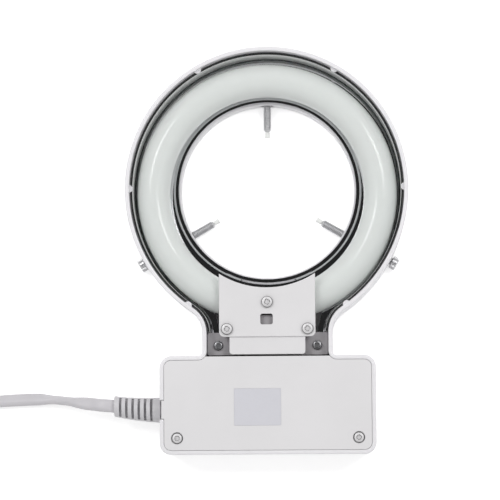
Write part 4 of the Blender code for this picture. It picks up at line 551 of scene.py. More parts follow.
def shade(piece: bpy.types.Object, angle: float = math.radians(32)) -> None:
    """Shade a piece smooth up to an angle, and keep its flats flat."""
    piece.data.shade_smooth()
    piece.data.set_sharp_from_angle(angle=angle)
    step = piece.modifiers.new("even_shading", "WEIGHTED_NORMAL")
    step.keep_sharp = True


def lathe(bm: BMesh, profile: Iterable[Pair], steps: int, closed: bool = False) -> None:
    """Spin a profile about Z.

    Args:
        bm: the bmesh that takes the shape.
        profile: (radius, height) points.
        steps: steps of a full turn.
        closed: whether the last point joins the first.
    """
    verts = [bm.verts.new((radius, 0, height)) for radius, height in profile]
    pairs = list(zip(verts, verts[1:]))
    if closed:
        pairs.append((verts[-1], verts[0]))
    edges = [bm.edges.new(pair) for pair in pairs]
    bmesh.ops.spin(
        bm, geom=verts + edges, cent=(0, 0, 0), axis=(0, 0, 1), angle=FULL_TURN, steps=steps,
        use_merge=True, use_duplicate=False)
    bmesh.ops.remove_doubles(bm, verts=bm.verts, dist=WELD)


def rounded(corners: Sequence[Triple], steps: int = 4) -> list[Pair]:
    """Round the corners of a profile.

    Args:
        corners: radius, height and rounding of each corner, in order.
        steps: runs of each rounding.

    Returns:
        The profile's points.
    """
    points = [Vector(corner[:2]) for corner in corners]
    made = []
    for i, corner in enumerate(corners):
        at = points[i]
        if corner[2] <= 0 or i in (0, len(points) - 1):
            made.append(tuple(at))
            continue
        back, ahead = (points[i - 1] - at).normalized(), (points[i + 1] - at).normalized()
        half = back.angle(ahead) / 2
        middle = at + (back + ahead).normalized() * (corner[2] / math.sin(half))
        first = at + back * (corner[2] / math.tan(half)) - middle
        last = at + ahead * (corner[2] / math.tan(half)) - middle
        made += [
            tuple(middle + first.slerp(last, j / steps) * corner[2]) for j in range(steps + 1)]
    return made


def turned_to(direction: Vector) -> Matrix:
    """The turn that takes +Z to a direction."""
    return direction.to_track_quat("Z", "Y").to_matrix().to_4x4()


def bar(bm: BMesh, radius: float, start: Sequence[float], end: Sequence[float],
        sides: int = 48) -> None:
    """Add a capped cylinder between two points."""
    start, end = Vector(start), Vector(end)
    axis = end - start
    bmesh.ops.create_cone(
        bm, cap_ends=True, segments=sides, radius1=radius, radius2=radius, depth=axis.length,
        matrix=Matrix.Translation((start + end) / 2) @ turned_to(axis))


def block(bm: BMesh, low: Sequence[float], high: Sequence[float], corner: float = 0.0
          ) -> None:
    """Add a box, with its upright edges rounded where a corner radius is given.

    Args:
        bm: the bmesh that takes the box.
        low: its lowest corner.
        high: its highest corner.
        corner: radius of the upright edges.
    """
    low, high = Vector(low), Vector(high)
    place = Matrix.Translation((low + high) / 2) @ Matrix.Diagonal((*(high - low), 1.0))
    made = bmesh.ops.create_cube(bm, size=1.0, matrix=place)["verts"]
    if corner:
        edges = {edge for vert in made for edge in vert.link_edges}
        upright = [e for e in edges if abs(e.verts[0].co.z - e.verts[1].co.z) > LEVEL]
        bevel(bm, upright, corner, 6)


def bevel(bm: BMesh, edges: Iterable[BMEdge], width: float, segments: int = 3) -> None:
    """Round edges of a bmesh."""
    bmesh.ops.bevel(
        bm, geom=list(edges), offset=width, offset_type="OFFSET", segments=segments,
        profile=0.5, affect="EDGES", material=-1, clamp_overlap=True)


def pad(bm: BMesh, middle: Pair, half: Pair, heights: Pair, corner: float = 0.0) -> None:
    """Add a box round a place, between two heights, as block does."""
    (x, y), (across, along), (low, high) = middle, half, heights
    block(bm, (x - across, y - along, low), (x + across, y + along, high), corner)


def edges_at(bm: BMesh, height: float) -> list[BMEdge]:
    """The edges that lie level at a height."""
    return [e for e in bm.edges if all(abs(v.co.z - height) < LEVEL for v in e.verts)]


def widest_face(bm: BMesh, height: float) -> BMFace:
    """The largest level face at a height."""
    level = [f for f in bm.faces if all(abs(v.co.z - height) < LEVEL for v in f.verts)]
    return max(level, key=lambda face: face.calc_area())


def sink_middle(bm: BMesh, height: float, width: float, depth: float) -> list[BMEdge]:
    """Sink the middle of the largest level face, and leave a rim.

    Args:
        bm: a closed shape.
        height: the face's height.
        width: the rim's width.
        depth: how far the middle goes down.

    Returns:
        The rim's inner edges.
    """
    bmesh.ops.inset_region(
        bm, faces=[widest_face(bm, height)], thickness=width, use_even_offset=True,
        use_boundary=True)
    middle = widest_face(bm, height)
    rim = list(middle.edges)
    sunk = bmesh.ops.extrude_discrete_faces(bm, faces=[middle])["faces"][0]
    bmesh.ops.translate(bm, vec=(0, 0, -depth), verts=sunk.verts)
    return rim


def stack_rings(bm: BMesh, first: list[BMEdge], steps: Iterable[tuple[Triple, Triple]]) -> None:
    """Draw a ring on through steps, each a scaling and a move, and close both ends."""
    edges = first
    for scale, move in steps:
        made = bmesh.ops.extrude_edge_only(bm, edges=edges)["geom"]
        verts = [g for g in made if isinstance(g, BMVert)]
        edges = [g for g in made if isinstance(g, BMEdge)]
        bmesh.ops.scale(bm, vec=scale, verts=verts)
        bmesh.ops.translate(bm, vec=move, verts=verts)
    bmesh.ops.edgeloop_fill(bm, edges=first)
    bmesh.ops.edgeloop_fill(bm, edges=edges)


def raise_wall(bm: BMesh, outline: list[BMEdge], rise: float) -> None:
    """Draw an outline up as a wall, and close its foot and its top."""
    made = bmesh.ops.extrude_edge_only(bm, edges=outline)["geom"]
    bmesh.ops.translate(bm, vec=(0, 0, rise), verts=[g for g in made if isinstance(g, BMVert)])
    bmesh.ops.edgeloop_fill(bm, edges=outline)
    bmesh.ops.edgeloop_fill(bm, edges=[g for g in made if isinstance(g, BMEdge)])
    bmesh.ops.recalc_face_normals(bm, faces=bm.faces)


def trim(bm: BMesh, place: Triple, outwards: Triple) -> None:
    """Cut off what lies beyond a plane, and close the cut.

    Args:
        bm: a closed shape.
        place: a point of the plane.
        outwards: the way to what goes.
    """
    made = bmesh.ops.bisect_plane(
        bm, geom=bm.verts[:] + bm.edges[:] + bm.faces[:], dist=WELD, plane_co=place,
        plane_no=outwards, clear_outer=True)
    bmesh.ops.edgeloop_fill(bm, edges=[g for g in made["geom_cut"] if isinstance(g, BMEdge)])
    bmesh.ops.recalc_face_normals(bm, faces=bm.faces)


class Pen:
    """Draws a level outline as straight runs and arcs."""

    def __init__(self, bm: BMesh, x: float, y: float, height: float) -> None:
        """Put the pen down.

        Args:
            bm: the bmesh that takes the outline.
            x: first point.
            y: first point.
            height: the outline's height.
        """
        self.bm = bm
        self.height = height
        self.tip = bm.verts.new((x, y, height))

    def line(self, x: float, y: float) -> None:
        """Draw a straight run to a point."""
        self.tip = bmesh.ops.extrude_vert_indiv(self.bm, verts=[self.tip])["verts"][0]
        self.tip.co = (x, y, self.height)

    def arc(self, x: float, y: float, sweep: float, step: float = CORNER_ARC) -> None:
        """Draw an arc.

        Args:
            x: its centre.
            y: its centre.
            sweep: how far it turns, anticlockwise positive.
            step: the largest turn of one run.
        """
        made = bmesh.ops.spin(
            self.bm, geom=[self.tip], cent=(x, y, self.height), axis=(0, 0, 1), angle=sweep,
            steps=math.ceil(abs(sweep) / step), use_merge=False, use_duplicate=False)
        self.tip = next(g for g in made["geom_last"] if isinstance(g, BMVert))

    def mirrored(self) -> list[BMEdge]:
        """Mirror a half outline whose ends lie on X = 0, and return all its edges."""
        bmesh.ops.mirror(
            self.bm, geom=self.bm.verts[:] + self.bm.edges[:], matrix=Matrix(), merge_dist=WELD,
            axis="X")
        bmesh.ops.remove_doubles(self.bm, verts=self.bm.verts, dist=WELD)
        return list(self.bm.edges)


class Wardrobe:
    """Makes each slot's material once, and dresses the new pieces and the CAD nodes."""

    def __init__(self) -> None:
        """Start with no materials and no replaced nodes."""
        self.materials: dict[Slot, bpy.types.Material] = {}
        self.replaced: set[str] = set()

    def material(self, slot: Slot) -> bpy.types.Material:
        """The slot's material, made at its first use."""
        if slot not in self.materials:
            self.materials[slot] = slot.value.make(slot.name)
        return self.materials[slot]

    def dress(self, piece: bpy.types.Object, slot: Slot, nodes: Sequence[str],
              body: str = LIGHT_BODY, finish: Slot | None = None) -> bpy.types.Object:
        """Give a piece its finish, its body and the nodes that it stands for.

        Args:
            piece: the new piece.
            slot: its material slot.
            nodes: the CAD nodes that it replaces.
            body: the CAD body that it moves with.
            finish: a finish in place of the slot's own.

        Returns:
            The piece.
        """
        piece.data.materials.clear()
        piece.data.materials.append(self.material(finish or slot))
        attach(piece, body)
        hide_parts(*nodes)
        self.replaced.update(nodes)
        LOG.info("%s: %d faces, finish %s", piece.name, len(piece.data.polygons), slot.name)
        return piece

    def dress_carried(self, parts: dict[str, bpy.types.Object], rows: list[dict]) -> None:
        """Give every CAD node that stays its slot's material.

        Args:
            parts: the CAD nodes by name.
            rows: the record's rows of node and material slot.
        """
        for row in rows:
            name = row["node"]
            if name in self.replaced:
                continue
            for held in parts[name].material_slots:
                held.material = self.material(Slot[row["material_slot"]])
            LOG.info("%s: carried over, finish %s", name, row["material_slot"])


# The outline that housing, reflector and cover share

@dataclass
class Keyhole:
    """The ring, the neck and the box as one outline; places are given from the ring's centre."""

    centre_y: float
    ring_radius: float = 0.0655
    flare: float = 0.0024
    flare_start: float = math.radians(20)
    neck_half_width: float = 0.0300
    neck_fillet: float = 0.0120
    shoulder_fillet: float = 0.0020
    box_half_width: float = 0.0498
    box_near: float = 0.0780
    box_far: float = 0.1234
    box_corner: float = 0.0053

    def y(self, toward_box: float) -> float:
        """Y of a place at a distance from the ring's centre towards the box."""
        return self.centre_y - toward_box

    def centre(self, bm: BMesh) -> None:
        """Move a shape from the origin to the ring's centre."""
        bmesh.ops.translate(bm, vec=(0, self.centre_y, 0), verts=bm.verts)

    def flare_centre(self) -> Pair:
        """Centre of the wider arcs that lead from the ring to the neck."""
        return (-self.flare * math.cos(self.flare_start),
                self.centre_y - self.flare * math.sin(self.flare_start))

    def outline(self, bm: BMesh, inset: float, height: float) -> list[BMEdge]:
        """Draw the outline moved inwards.

        Args:
            bm: an empty bmesh.
            inset: how far it is moved inwards.
            height: its height.

        Returns:
            The outline's edges.
        """
        cx, cy = self.flare_centre()
        fx = self.neck_half_width + self.neck_fillet
        reach = self.ring_radius + self.flare + self.neck_fillet
        fy = cy - math.sqrt(reach ** 2 - (fx - cx) ** 2)
        meet = math.atan2(cy - fy, cx - fx)
        corner_x = self.box_half_width - self.box_corner
        pen = Pen(bm, 0, self.centre_y + self.ring_radius - inset, height)
        pen.arc(0, self.centre_y, self.flare_start - QUARTER_TURN, FINE_ARC)
        pen.arc(cx, cy, meet - math.pi - self.flare_start, FINE_ARC)
        pen.arc(fx, fy, math.pi - meet)
        pen.line(self.neck_half_width - inset, self.y(self.box_near - self.shoulder_fillet))
        pen.arc(self.neck_half_width + self.shoulder_fillet,
                self.y(self.box_near - self.shoulder_fillet), QUARTER_TURN)
        pen.line(corner_x, self.y(self.box_near + inset))
        pen.arc(corner_x, self.y(self.box_near + self.box_corner), -QUARTER_TURN)
        pen.line(self.box_half_width - inset, self.y(self.box_far - self.box_corner))
        pen.arc(corner_x, self.y(self.box_far - self.box_corner), -QUARTER_TURN)
        pen.line(0, self.y(self.box_far - inset))
        return pen.mirrored()

    def wall_radius(self, angle: float) -> float:
        """Distance from the ring's centre to the outside wall in a direction."""
        folded = math.atan2(math.sin(angle), abs(math.cos(angle)))
        if folded >= self.flare_start:
            return self.ring_radius
        cx, cy = self.flare_centre()
        cy -= self.centre_y
        along = cx * math.cos(folded) + cy * math.sin(folded)
        across = cx ** 2 + cy ** 2 - along ** 2
        return along + math.sqrt((self.ring_radius + self.flare) ** 2 - across)

    def toward(self, angle: float, radius: float, height: float) -> Vector:
        """A place at a direction and distance from the ring's centre."""
        return Vector((radius * math.cos(angle), self.centre_y + radius * math.sin(angle), height))


# Housing and reflector

@dataclass
class Housing:
    """The white moulded housing: open tray, bore wall, bosses, posts and lugs."""

    shape: Keyhole
    height: float = 0.0300
    wall: float = 0.0019
    floor: float = 0.0022
    rim_outer_round: float = 0.0007
    rim_inner_round: float = 0.0003
    floor_round: float = 0.0006
    foot_round: float = 0.0008
    bore_radius: float = 0.0408
    bore_wall: float = 0.0020
    bore_top: float = 0.00865
    bore_round: float = 0.0004
    screw_height: float = 0.0046
    seat_radius: float = 0.00325
    seat_end: float = 0.0473
    boss_radius: float = 0.00375
    boss_end: float = 0.0478
    shank_hole: float = 0.0026
    lug_radius: float = 0.0018
    lug_reach: float = 0.0015
    lug_low: float = 0.0258
    lug_height: float = 0.0014
    lug_angles: tuple[float, ...] = (0, 60, 120, 180, 236, 304)
    relief_at: Pair = (0.1026, 0.0150)
    relief_slot: float = 0.0045
    switch_at: Pair = (-0.0280, 0.1130)
    well_half: Pair = (0.0092, 0.0072)
    well_depth: float = 0.0036
    well_wall: float = 0.0020
    opening_half: Pair = (0.0071, 0.0051)
    post_hole: float = 0.0015
    post_hole_depth: float = 0.0100
    post_sides: int = 32
    lug_sides: int = 40
    hole_sides: int = 24

    def screw_posts(self) -> list[tuple[float, float, float, float]]:
        """X, distance towards the box, radius and top of each post that takes a screw."""
        made = [
            (0, 0.0533, 0.0026, 0.0279),
            (-0.0140, 0.0885, 0.0028, 0.0069),
            (0.0370, 0.1095, 0.0028, 0.0069),
            (-0.0385, 0.1088, 0.0026, 0.0150),
            (-0.0385, 0.0964, 0.0026, 0.0150),
        ]
        for side in (-1, 1):
            made += [
                (side * 0.0186, 0.0657, 0.0026, 0.0279),
                (side * 0.0229, 0.0731, 0.0026, 0.0197),
                (side * 0.0418, 0.1158, 0.0026, 0.0273),
            ]
        return made

    def cover_rests(self) -> list[tuple[float, float, float, float]]:
        """X, distance towards the box, radius and top of each plain post under the cover."""
        return [(side * 0.0442, 0.0850, 0.0026, 0.0273) for side in (-1, 1)]

    def tray(self) -> bpy.types.Object:
        """The tray with its rounded rim, floor and foot."""
        bm = bmesh.new()
        raise_wall(bm, self.shape.outline(bm, 0, 0), self.height)
        bevel(bm, edges_at(bm, 0), self.foot_round)
        bevel(bm, edges_at(bm, self.height), self.rim_outer_round, 4)
        rim = sink_middle(bm, self.height, self.wall - self.rim_outer_round,
                          self.height - self.floor)
        bevel(bm, rim, self.rim_inner_round)
        bevel(bm, edges_at(bm, self.floor), self.floor_round, 2)
        return from_bmesh("ring_housing", bm)

    def blanks(self) -> list[BMesh]:
        """The shapes that stand in the tray, apart where they would touch one another."""
        y, foot = self.shape.y, self.floor - SINK
        wall = bmesh.new()
        lathe(wall, rounded((
            (0, foot, 0),
            (self.bore_radius + self.bore_wall, foot, 0),
            (self.bore_radius + self.bore_wall, self.bore_top, self.bore_round),
            (0, self.bore_top, 0),
        ), 2), RING_STEPS)
        self.shape.centre(wall)
        standing = bmesh.new()
        for angle in SCREW_ANGLES:
            bar(standing, self.boss_radius,
                self.shape.toward(angle, self.bore_radius + self.bore_wall / 2, self.screw_height),
                self.shape.toward(angle, self.boss_end, self.screw_height))
        for x, far, radius, top in self.screw_posts() + self.cover_rests():
            bar(standing, radius, (x, y(far), foot), (x, y(far), top), self.post_sides)
        well = bmesh.new()
        half = tuple(side + self.well_wall for side in self.well_half)
        pad(well, (self.switch_at[0], y(self.switch_at[1])), half,
            (foot, self.well_depth + self.well_wall), self.well_wall / 2)
        lugs = bmesh.new()
        for angle in map(math.radians, self.lug_angles):
            reach = self.shape.wall_radius(angle) - self.wall - self.lug_reach + self.lug_radius
            low = self.shape.toward(angle, reach, self.lug_low)
            bar(lugs, self.lug_radius, low, low + Vector((0, 0, self.lug_height)),
                self.lug_sides)
        return [wall, standing, well, lugs]

    def cuts(self) -> list[BMesh]:
        """The bore, the seats, the screw holes, the cord slot and the switch well."""
        y = self.shape.y
        edge = self.bore_radius + self.bore_round
        bore = bmesh.new()
        lathe(bore, (
            (0, self.bore_top + OVERRUN), (edge, self.bore_top + OVERRUN), (edge, self.bore_top),
            (self.bore_radius, self.bore_top - self.bore_round),
            (self.bore_radius, self.bore_round), (edge, 0), (edge, -OVERRUN), (0, -OVERRUN),
        ), RING_STEPS)
        self.shape.centre(bore)
        seats, holes = bmesh.new(), bmesh.new()
        for angle in SCREW_ANGLES:
            wall = self.shape.wall_radius(angle)
            for bm, radius, near, far in (
                    (seats, self.seat_radius, self.bore_radius - OVERRUN, self.seat_end),
                    (seats, self.shank_hole, wall - self.wall - OVERRUN, wall + OVERRUN),
                    (holes, self.shank_hole, self.bore_radius + self.bore_wall,
                     self.boss_end + OVERRUN)):
                bar(bm, radius, self.shape.toward(angle, near, self.screw_height),
                    self.shape.toward(angle, far, self.screw_height))
        for x, far, _, top in self.screw_posts():
            low = max(top - self.post_hole_depth, self.floor + SINK)
            bar(holes, self.post_hole, (x, y(far), low), (x, y(far), top + OVERRUN),
                self.hole_sides)
        far, height = self.relief_at
        outside = -self.shape.box_half_width - OVERRUN
        inside = -self.shape.box_half_width + self.wall + OVERRUN
        round_slot, open_slot = bmesh.new(), bmesh.new()
        bar(round_slot, self.relief_slot, (outside, y(far), height), (inside, y(far), height))
        block(open_slot, (outside, y(far) - self.relief_slot, height),
              (inside, y(far) + self.relief_slot, self.height + OVERRUN))
        place = (self.switch_at[0], y(self.switch_at[1]))
        well, opening = bmesh.new(), bmesh.new()
        pad(well, place, self.well_half, (-OVERRUN, self.well_depth), self.well_wall / 2)
        pad(opening, place, self.opening_half,
            (self.well_depth - SINK, self.well_depth + self.well_wall + OVERRUN))
        return [bore, seats, holes, round_slot, open_slot, well, opening]

    def build(self, wardrobe: Wardrobe) -> None:
        """Model and dress the housing."""
        housing = self.tray()
        for blank in self.blanks():
            combine(housing, blank, Meeting.JOIN)
        for cutter in self.cuts():
            combine(housing, cutter, Meeting.CUT)
        shade(housing)
        wardrobe.dress(housing, Slot.white_housing, ["housing"])


@dataclass
class Reflector:
    """The bright tray behind the lamp, with a flat-topped bead round the bore."""

    shape: Keyhole
    outer_inset: float = 0.0022
    sheet: float = 0.0009
    floor: float = 0.00895
    rim: float = 0.0253
    cove: float = 0.0012
    foot: float = 0.0006
    end: float = 0.0668
    lip_inner: float = 0.0416
    lip_width: float = 0.0026
    lip_height: float = 0.0017
    lip_crown: Triple = (0.0016, 0.00029, 0.0020)
    lip_dip: float = math.tan(math.radians(4))
    lip_chamfer: float = 0.00025
    rim_edge: float = 0.0011
    rim_round: Pair = (0.000075, 0.000225)
    cutout_half_width: float = 0.0272
    cutout_taper: float = 0.0046
    cutout_near: float = 0.0464

    def build(self, wardrobe: Wardrobe) -> None:
        """Model and dress the reflector."""
        top = self.floor + self.sheet
        bm = bmesh.new()
        raise_wall(bm, self.shape.outline(bm, self.outer_inset, self.floor), self.rim - self.floor)
        bevel(bm, edges_at(bm, self.floor), self.foot)
        bevel(bm, edges_at(bm, self.rim), self.rim_round[0], 1)
        brow = sink_middle(bm, self.rim, self.rim_edge - self.rim_round[0], self.rim - top)
        bevel(bm, brow, self.rim_round[1], 3)
        bevel(bm, edges_at(bm, top), self.cove, 5)
        trim(bm, (0, self.shape.y(self.end), 0), (0, -1, 0))
        tray = from_bmesh("reflector_tray", bm)
        outer, high = self.lip_inner + self.lip_width, top + self.lip_height
        crown, drop, curve = self.lip_crown
        lip = bmesh.new()
        lathe(lip, rounded((
            (self.lip_inner - OVERRUN, top - self.sheet / 2, 0),
            (self.lip_inner - OVERRUN, high - self.lip_dip * (crown + OVERRUN), 0),
            (self.lip_inner + crown, high, curve),
            (outer, high - drop, self.lip_width / 8),
            (outer, top - self.sheet / 2, 0),
        ), 6), RING_STEPS, closed=True)
        self.shape.centre(lip)
        combine(tray, lip, Meeting.JOIN)
        bore = bmesh.new()
        ease = self.lip_chamfer
        lathe(bore, (
            (0, self.rim), (self.lip_inner + 2 * ease, self.rim),
            (self.lip_inner + 2 * ease, high + ease), (self.lip_inner, high - ease),
            (self.lip_inner, 0), (0, 0)), RING_STEPS)
        self.shape.centre(bore)
        combine(tray, bore, Meeting.CUT)
        combine(tray, self.socket_cutout(), Meeting.CUT)
        shade(tray)
        wardrobe.dress(tray, Slot.reflector_metal, ["reflector"])

    def socket_cutout(self) -> BMesh:
        """The tapered hole for the lamp's base and holder."""
        bm = bmesh.new()
        pen = Pen(bm, 0, self.shape.y(self.cutout_near), self.floor - OVERRUN)
        pen.line(self.cutout_half_width, self.shape.y(self.cutout_near))
        pen.line(self.cutout_half_width - self.cutout_taper, self.shape.y(self.end + OVERRUN))
        pen.line(0, self.shape.y(self.end + OVERRUN))
        raise_wall(bm, pen.mirrored(), OVERRUN + self.sheet + self.cove * 2)
        return bm


# Lamp and retaining plate

@dataclass
class Lamp:
    """The ring tube."""

    shape: Keyhole
    centre: float = 0.0020
    centre_radius: float = 0.0529
    radius: float = 0.0077
    height: float = 0.01785
    half_gap: float = 0.0165
    around: int = 56
    steps: int = 200

    def tube(self) -> BMesh:
        """The bent tube, from one end in the base round to the other, closed at both."""
        half = math.asin(self.half_gap / self.centre_radius)
        start = half - QUARTER_TURN
        bm = bmesh.new()
        ring = bmesh.ops.create_circle(
            bm, cap_ends=False, segments=self.around, radius=self.radius)["verts"]
        stand = Matrix.Rotation(QUARTER_TURN, 4, "X")
        place = Matrix.Rotation(start, 4, "Z") @ Matrix.Translation((self.centre_radius, 0, 0))
        bmesh.ops.transform(bm, matrix=place @ stand, verts=ring)
        first = bm.edges[:]
        made = bmesh.ops.spin(
            bm, geom=ring + first, cent=(0, 0, 0), axis=(0, 0, 1), angle=FULL_TURN - 2 * half,
            steps=self.steps, use_merge=False, use_duplicate=False)
        last = [g for g in made["geom_last"] if isinstance(g, BMEdge)]
        bmesh.ops.edgeloop_fill(bm, edges=first)
        bmesh.ops.edgeloop_fill(bm, edges=last)
        bmesh.ops.translate(bm, vec=(0, self.shape.y(self.centre), self.height), verts=bm.verts)
        return bm

    def build(self, wardrobe: Wardrobe) -> None:
        """Model and dress the tube."""
        tube = from_bmesh("ring_tube", self.tube())
        shade(tube)
        wardrobe.dress(tube, Slot.lamp_glass, ["lamp_tube"])


@dataclass
class RetainingPlate:
    """The white plate that holds the lamp's base down, with its tongue and window."""

    shape: Keyhole
    half_width: float = 0.0222
    top: float = 0.0298
    thickness: float = 0.0016
    arc_radius: float = 0.0410
    arc_low: float = 0.0466
    end: float = 0.0693
    corner: float = 0.0023
    edge: float = 0.0003
    tongue_half_width: float = 0.0175
    tongue_end: float = 0.0774
    tongue_top: float = 0.0287
    tongue_thickness: float = 0.0022
    tongue_corner: float = 0.0014
    window_at: Pair = (-0.0003, 0.0612)
    window_half: Pair = (0.0029, 0.0025)
    window_corner: float = 0.0010
    screws: tuple[Pair, ...] = ((0.0, 0.0533), (-0.0186, 0.0657), (0.0186, 0.0657))
    hole_radius: float = 0.0015

    def plate(self) -> BMesh:
        """The plate: an arc concave to the bore, straight sides and two round corners."""
        y, bottom = self.shape.y, self.top - self.thickness
        bm = bmesh.new()
        centre = y(self.arc_low - self.arc_radius)
        pen = Pen(bm, 0, y(self.arc_low), bottom)
        pen.arc(0, centre, math.asin(self.half_width / self.arc_radius), FINE_ARC)
        pen.line(self.half_width, y(self.end - self.corner))
        pen.arc(self.half_width - self.corner, y(self.end - self.corner), -QUARTER_TURN)
        pen.line(0, y(self.end))
        raise_wall(bm, pen.mirrored(), self.thickness)
        bevel(bm, edges_at(bm, self.top), self.edge)
        bevel(bm, edges_at(bm, bottom), self.edge)
        return bm

    def window(self) -> BMesh:
        """The window's hole, with round corners."""
        bm = bmesh.new()
        pad(bm, (self.window_at[0], self.shape.y(self.window_at[1])), self.window_half,
            (self.tongue_top - self.tongue_thickness - OVERRUN, self.top + OVERRUN),
            self.window_corner)
        return bm

    def build(self, wardrobe: Wardrobe) -> None:
        """Model and dress the plate."""
        y = self.shape.y
        plate = from_bmesh("lamp_plate", self.plate())
        tongue = bmesh.new()
        near = self.end - self.corner - self.tongue_corner
        block(tongue, (-self.tongue_half_width, y(self.tongue_end),
                       self.tongue_top - self.tongue_thickness),
              (self.tongue_half_width, y(near), self.tongue_top), self.tongue_corner)
        bevel(tongue, edges_at(tongue, self.tongue_top), self.edge)
        combine(plate, tongue, Meeting.JOIN)
        combine(plate, self.window(), Meeting.CUT)
        holes = bmesh.new()
        for x, far in self.screws:
            bar(holes, self.hole_radius, (x, y(far), self.top / 2), (x, y(far), self.top + MM))
        combine(plate, holes, Meeting.CUT)
        shade(plate)
        wardrobe.dress(plate, Slot.white_cover, ["retaining_plate"])


# Screws

class HeadStyle(Enum):
    """Head height, edge rounding and recess reach of each kind of screw."""

    PLATE = (0.0014, 0.0007, 0.00145)
    EAR = (0.0013, 0.0007, 0.0012)
    COVER = (0.0012, 0.0007, 0.0013)


@dataclass
class Screw:
    """A cross-recessed screw that replaces a CAD screw and stands where it stands."""

    node: str
    style: HeadStyle
    slot: Slot
    turn: float = 0.0
    shank_radius: float = 0.0012
    recess_half_width: float = 0.0008
    recess_depth: float = 0.0005
    recess_taper: float = 0.74
    dome: float = 0.0001
    foot_round: float = 0.0001

    def recess(self, top: float) -> BMesh:
        """The cross-shaped recess, narrower at its bottom."""
        reach, half = self.style.value[2], self.recess_half_width
        bm = bmesh.new()
        corners = [Vector((reach, -half * 0.7)), Vector((reach, half * 0.7)), Vector((half, half))]
        verts = [
            bm.verts.new((*(Matrix.Rotation(quarter * QUARTER_TURN, 2) @ corner), top + GAP))
            for quarter in range(4) for corner in corners]
        outline = [bm.edges.new(pair) for pair in zip(verts, verts[1:] + verts[:1])]
        made = bmesh.ops.extrude_edge_only(bm, edges=outline)["geom"]
        low = [g for g in made if isinstance(g, BMVert)]
        bmesh.ops.scale(bm, vec=(self.recess_taper, self.recess_taper, 1), verts=low)
        bmesh.ops.translate(bm, vec=(0, 0, -self.recess_depth - GAP), verts=low)
        bmesh.ops.edgeloop_fill(bm, edges=outline)
        bmesh.ops.edgeloop_fill(bm, edges=[g for g in made if isinstance(g, BMEdge)])
        return bm

    def build(self, wardrobe: Wardrobe) -> None:
        """Model and dress the screw."""
        height, easing, _ = self.style.value
        low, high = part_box(self.node)
        middle = (low + high) / 2
        radius, length = (high.x - low.x) / 2, high.z - low.z
        bm = bmesh.new()
        lathe(bm, rounded((
            (0, length, 0),
            (radius * 0.45, length, 0),
            (radius, length - self.dome, easing),
            (radius, length - height, self.foot_round),
            (self.shank_radius, length - height, 0),
            (self.shank_radius, self.shank_radius, 0),
            (self.shank_radius / 3, 0, 0),
            (0, 0, 0),
        ), 5), 56)
        screw = from_bmesh(f"{self.node}_fine", bm)
        combine(screw, self.recess(length), Meeting.CUT)
        screw.data.transform(
            Matrix.Translation((middle.x, middle.y, low.z)) @ Matrix.Rotation(self.turn, 4, "Z"))
        shade(screw)
        wardrobe.dress(screw, self.slot, [self.node])


# Box cover and label

@dataclass
class BoxCover:
    """The lid of the ballast box, with its counterbores, its tab and the blank label."""

    shape: Keyhole
    inset: float = 0.00203
    top: float = 0.0298
    thickness: float = 0.0022
    near: float = 0.0783
    edge: float = 0.0002
    wall: float = 0.0019
    tab_reach: float = 0.0011
    tab_half_width: float = 0.0042
    tab_low: float = 0.0195
    relief_at: float = 0.1026
    screws: tuple[Pair, ...] = ((-0.0418, 0.1158), (0.0418, 0.1158))
    counterbore: float = 0.0028
    counterbore_depth: float = 0.0011
    hole_radius: float = 0.0015
    label_at: Pair = (-0.0047, 0.1016)
    label_half: Pair = (0.01080, 0.00850)
    label_corner: float = 0.0004
    label_play: float = 0.00003
    label_sunk: float = 0.0003
    pocket_depth: float = 0.0005

    def lid(self) -> bpy.types.Object:
        """The flat lid with the tab that closes the cord slot."""
        y, bottom = self.shape.y, self.top - self.thickness
        bm = bmesh.new()
        raise_wall(bm, self.shape.outline(bm, self.inset, bottom), self.thickness)
        trim(bm, (0, y(self.near), 0), (0, 1, 0))
        bevel(bm, edges_at(bm, self.top), self.edge)
        lid = from_bmesh("ballast_lid", bm)
        face = -self.shape.box_half_width + self.wall
        low, high = y(self.relief_at) - self.tab_half_width, y(self.relief_at) + self.tab_half_width
        for far, foot, head in (
                (face + GAP + SINK, bottom, self.top), (face, self.tab_low, bottom + SINK)):
            tab = bmesh.new()
            block(tab, (face - self.tab_reach, low, foot), (far, high, head))
            combine(lid, tab, Meeting.JOIN)
        return lid

    def label_block(self, play: float, low: float, high: float) -> BMesh:
        """The label's outline as a block, wider by the play round it."""
        bm = bmesh.new()
        pad(bm, (self.label_at[0], self.shape.y(self.label_at[1])),
            (self.label_half[0] + play, self.label_half[1] + play), (low, high),
            self.label_corner)
        return bm

    def build(self, wardrobe: Wardrobe) -> None:
        """Model and dress the cover and its label."""
        y, bottom = self.shape.y, self.top - self.thickness
        lid = self.lid()
        seats, holes = bmesh.new(), bmesh.new()
        for x, far in self.screws:
            seat = self.top - self.counterbore_depth
            bar(seats, self.counterbore, (x, y(far), seat), (x, y(far), self.top + OVERRUN), 64)
            bar(holes, self.hole_radius, (x, y(far), bottom - OVERRUN), (x, y(far), self.top))
        combine(lid, seats, Meeting.CUT)
        combine(lid, holes, Meeting.CUT)
        pocket = self.label_block(self.label_play, self.top - self.pocket_depth, self.top + OVERRUN)
        combine(lid, pocket, Meeting.CUT)
        shade(lid)
        wardrobe.dress(lid, Slot.white_cover, ["box_cover"])
        bm = self.label_block(0, self.top - self.label_sunk, self.top)
        bevel(bm, edges_at(bm, self.top), self.label_sunk / 4, 2)
        label = from_bmesh("blank_label", bm)
        shade(label)
        wardrobe.dress(label, Slot.label_paper, ["label"])


# Thumbscrews

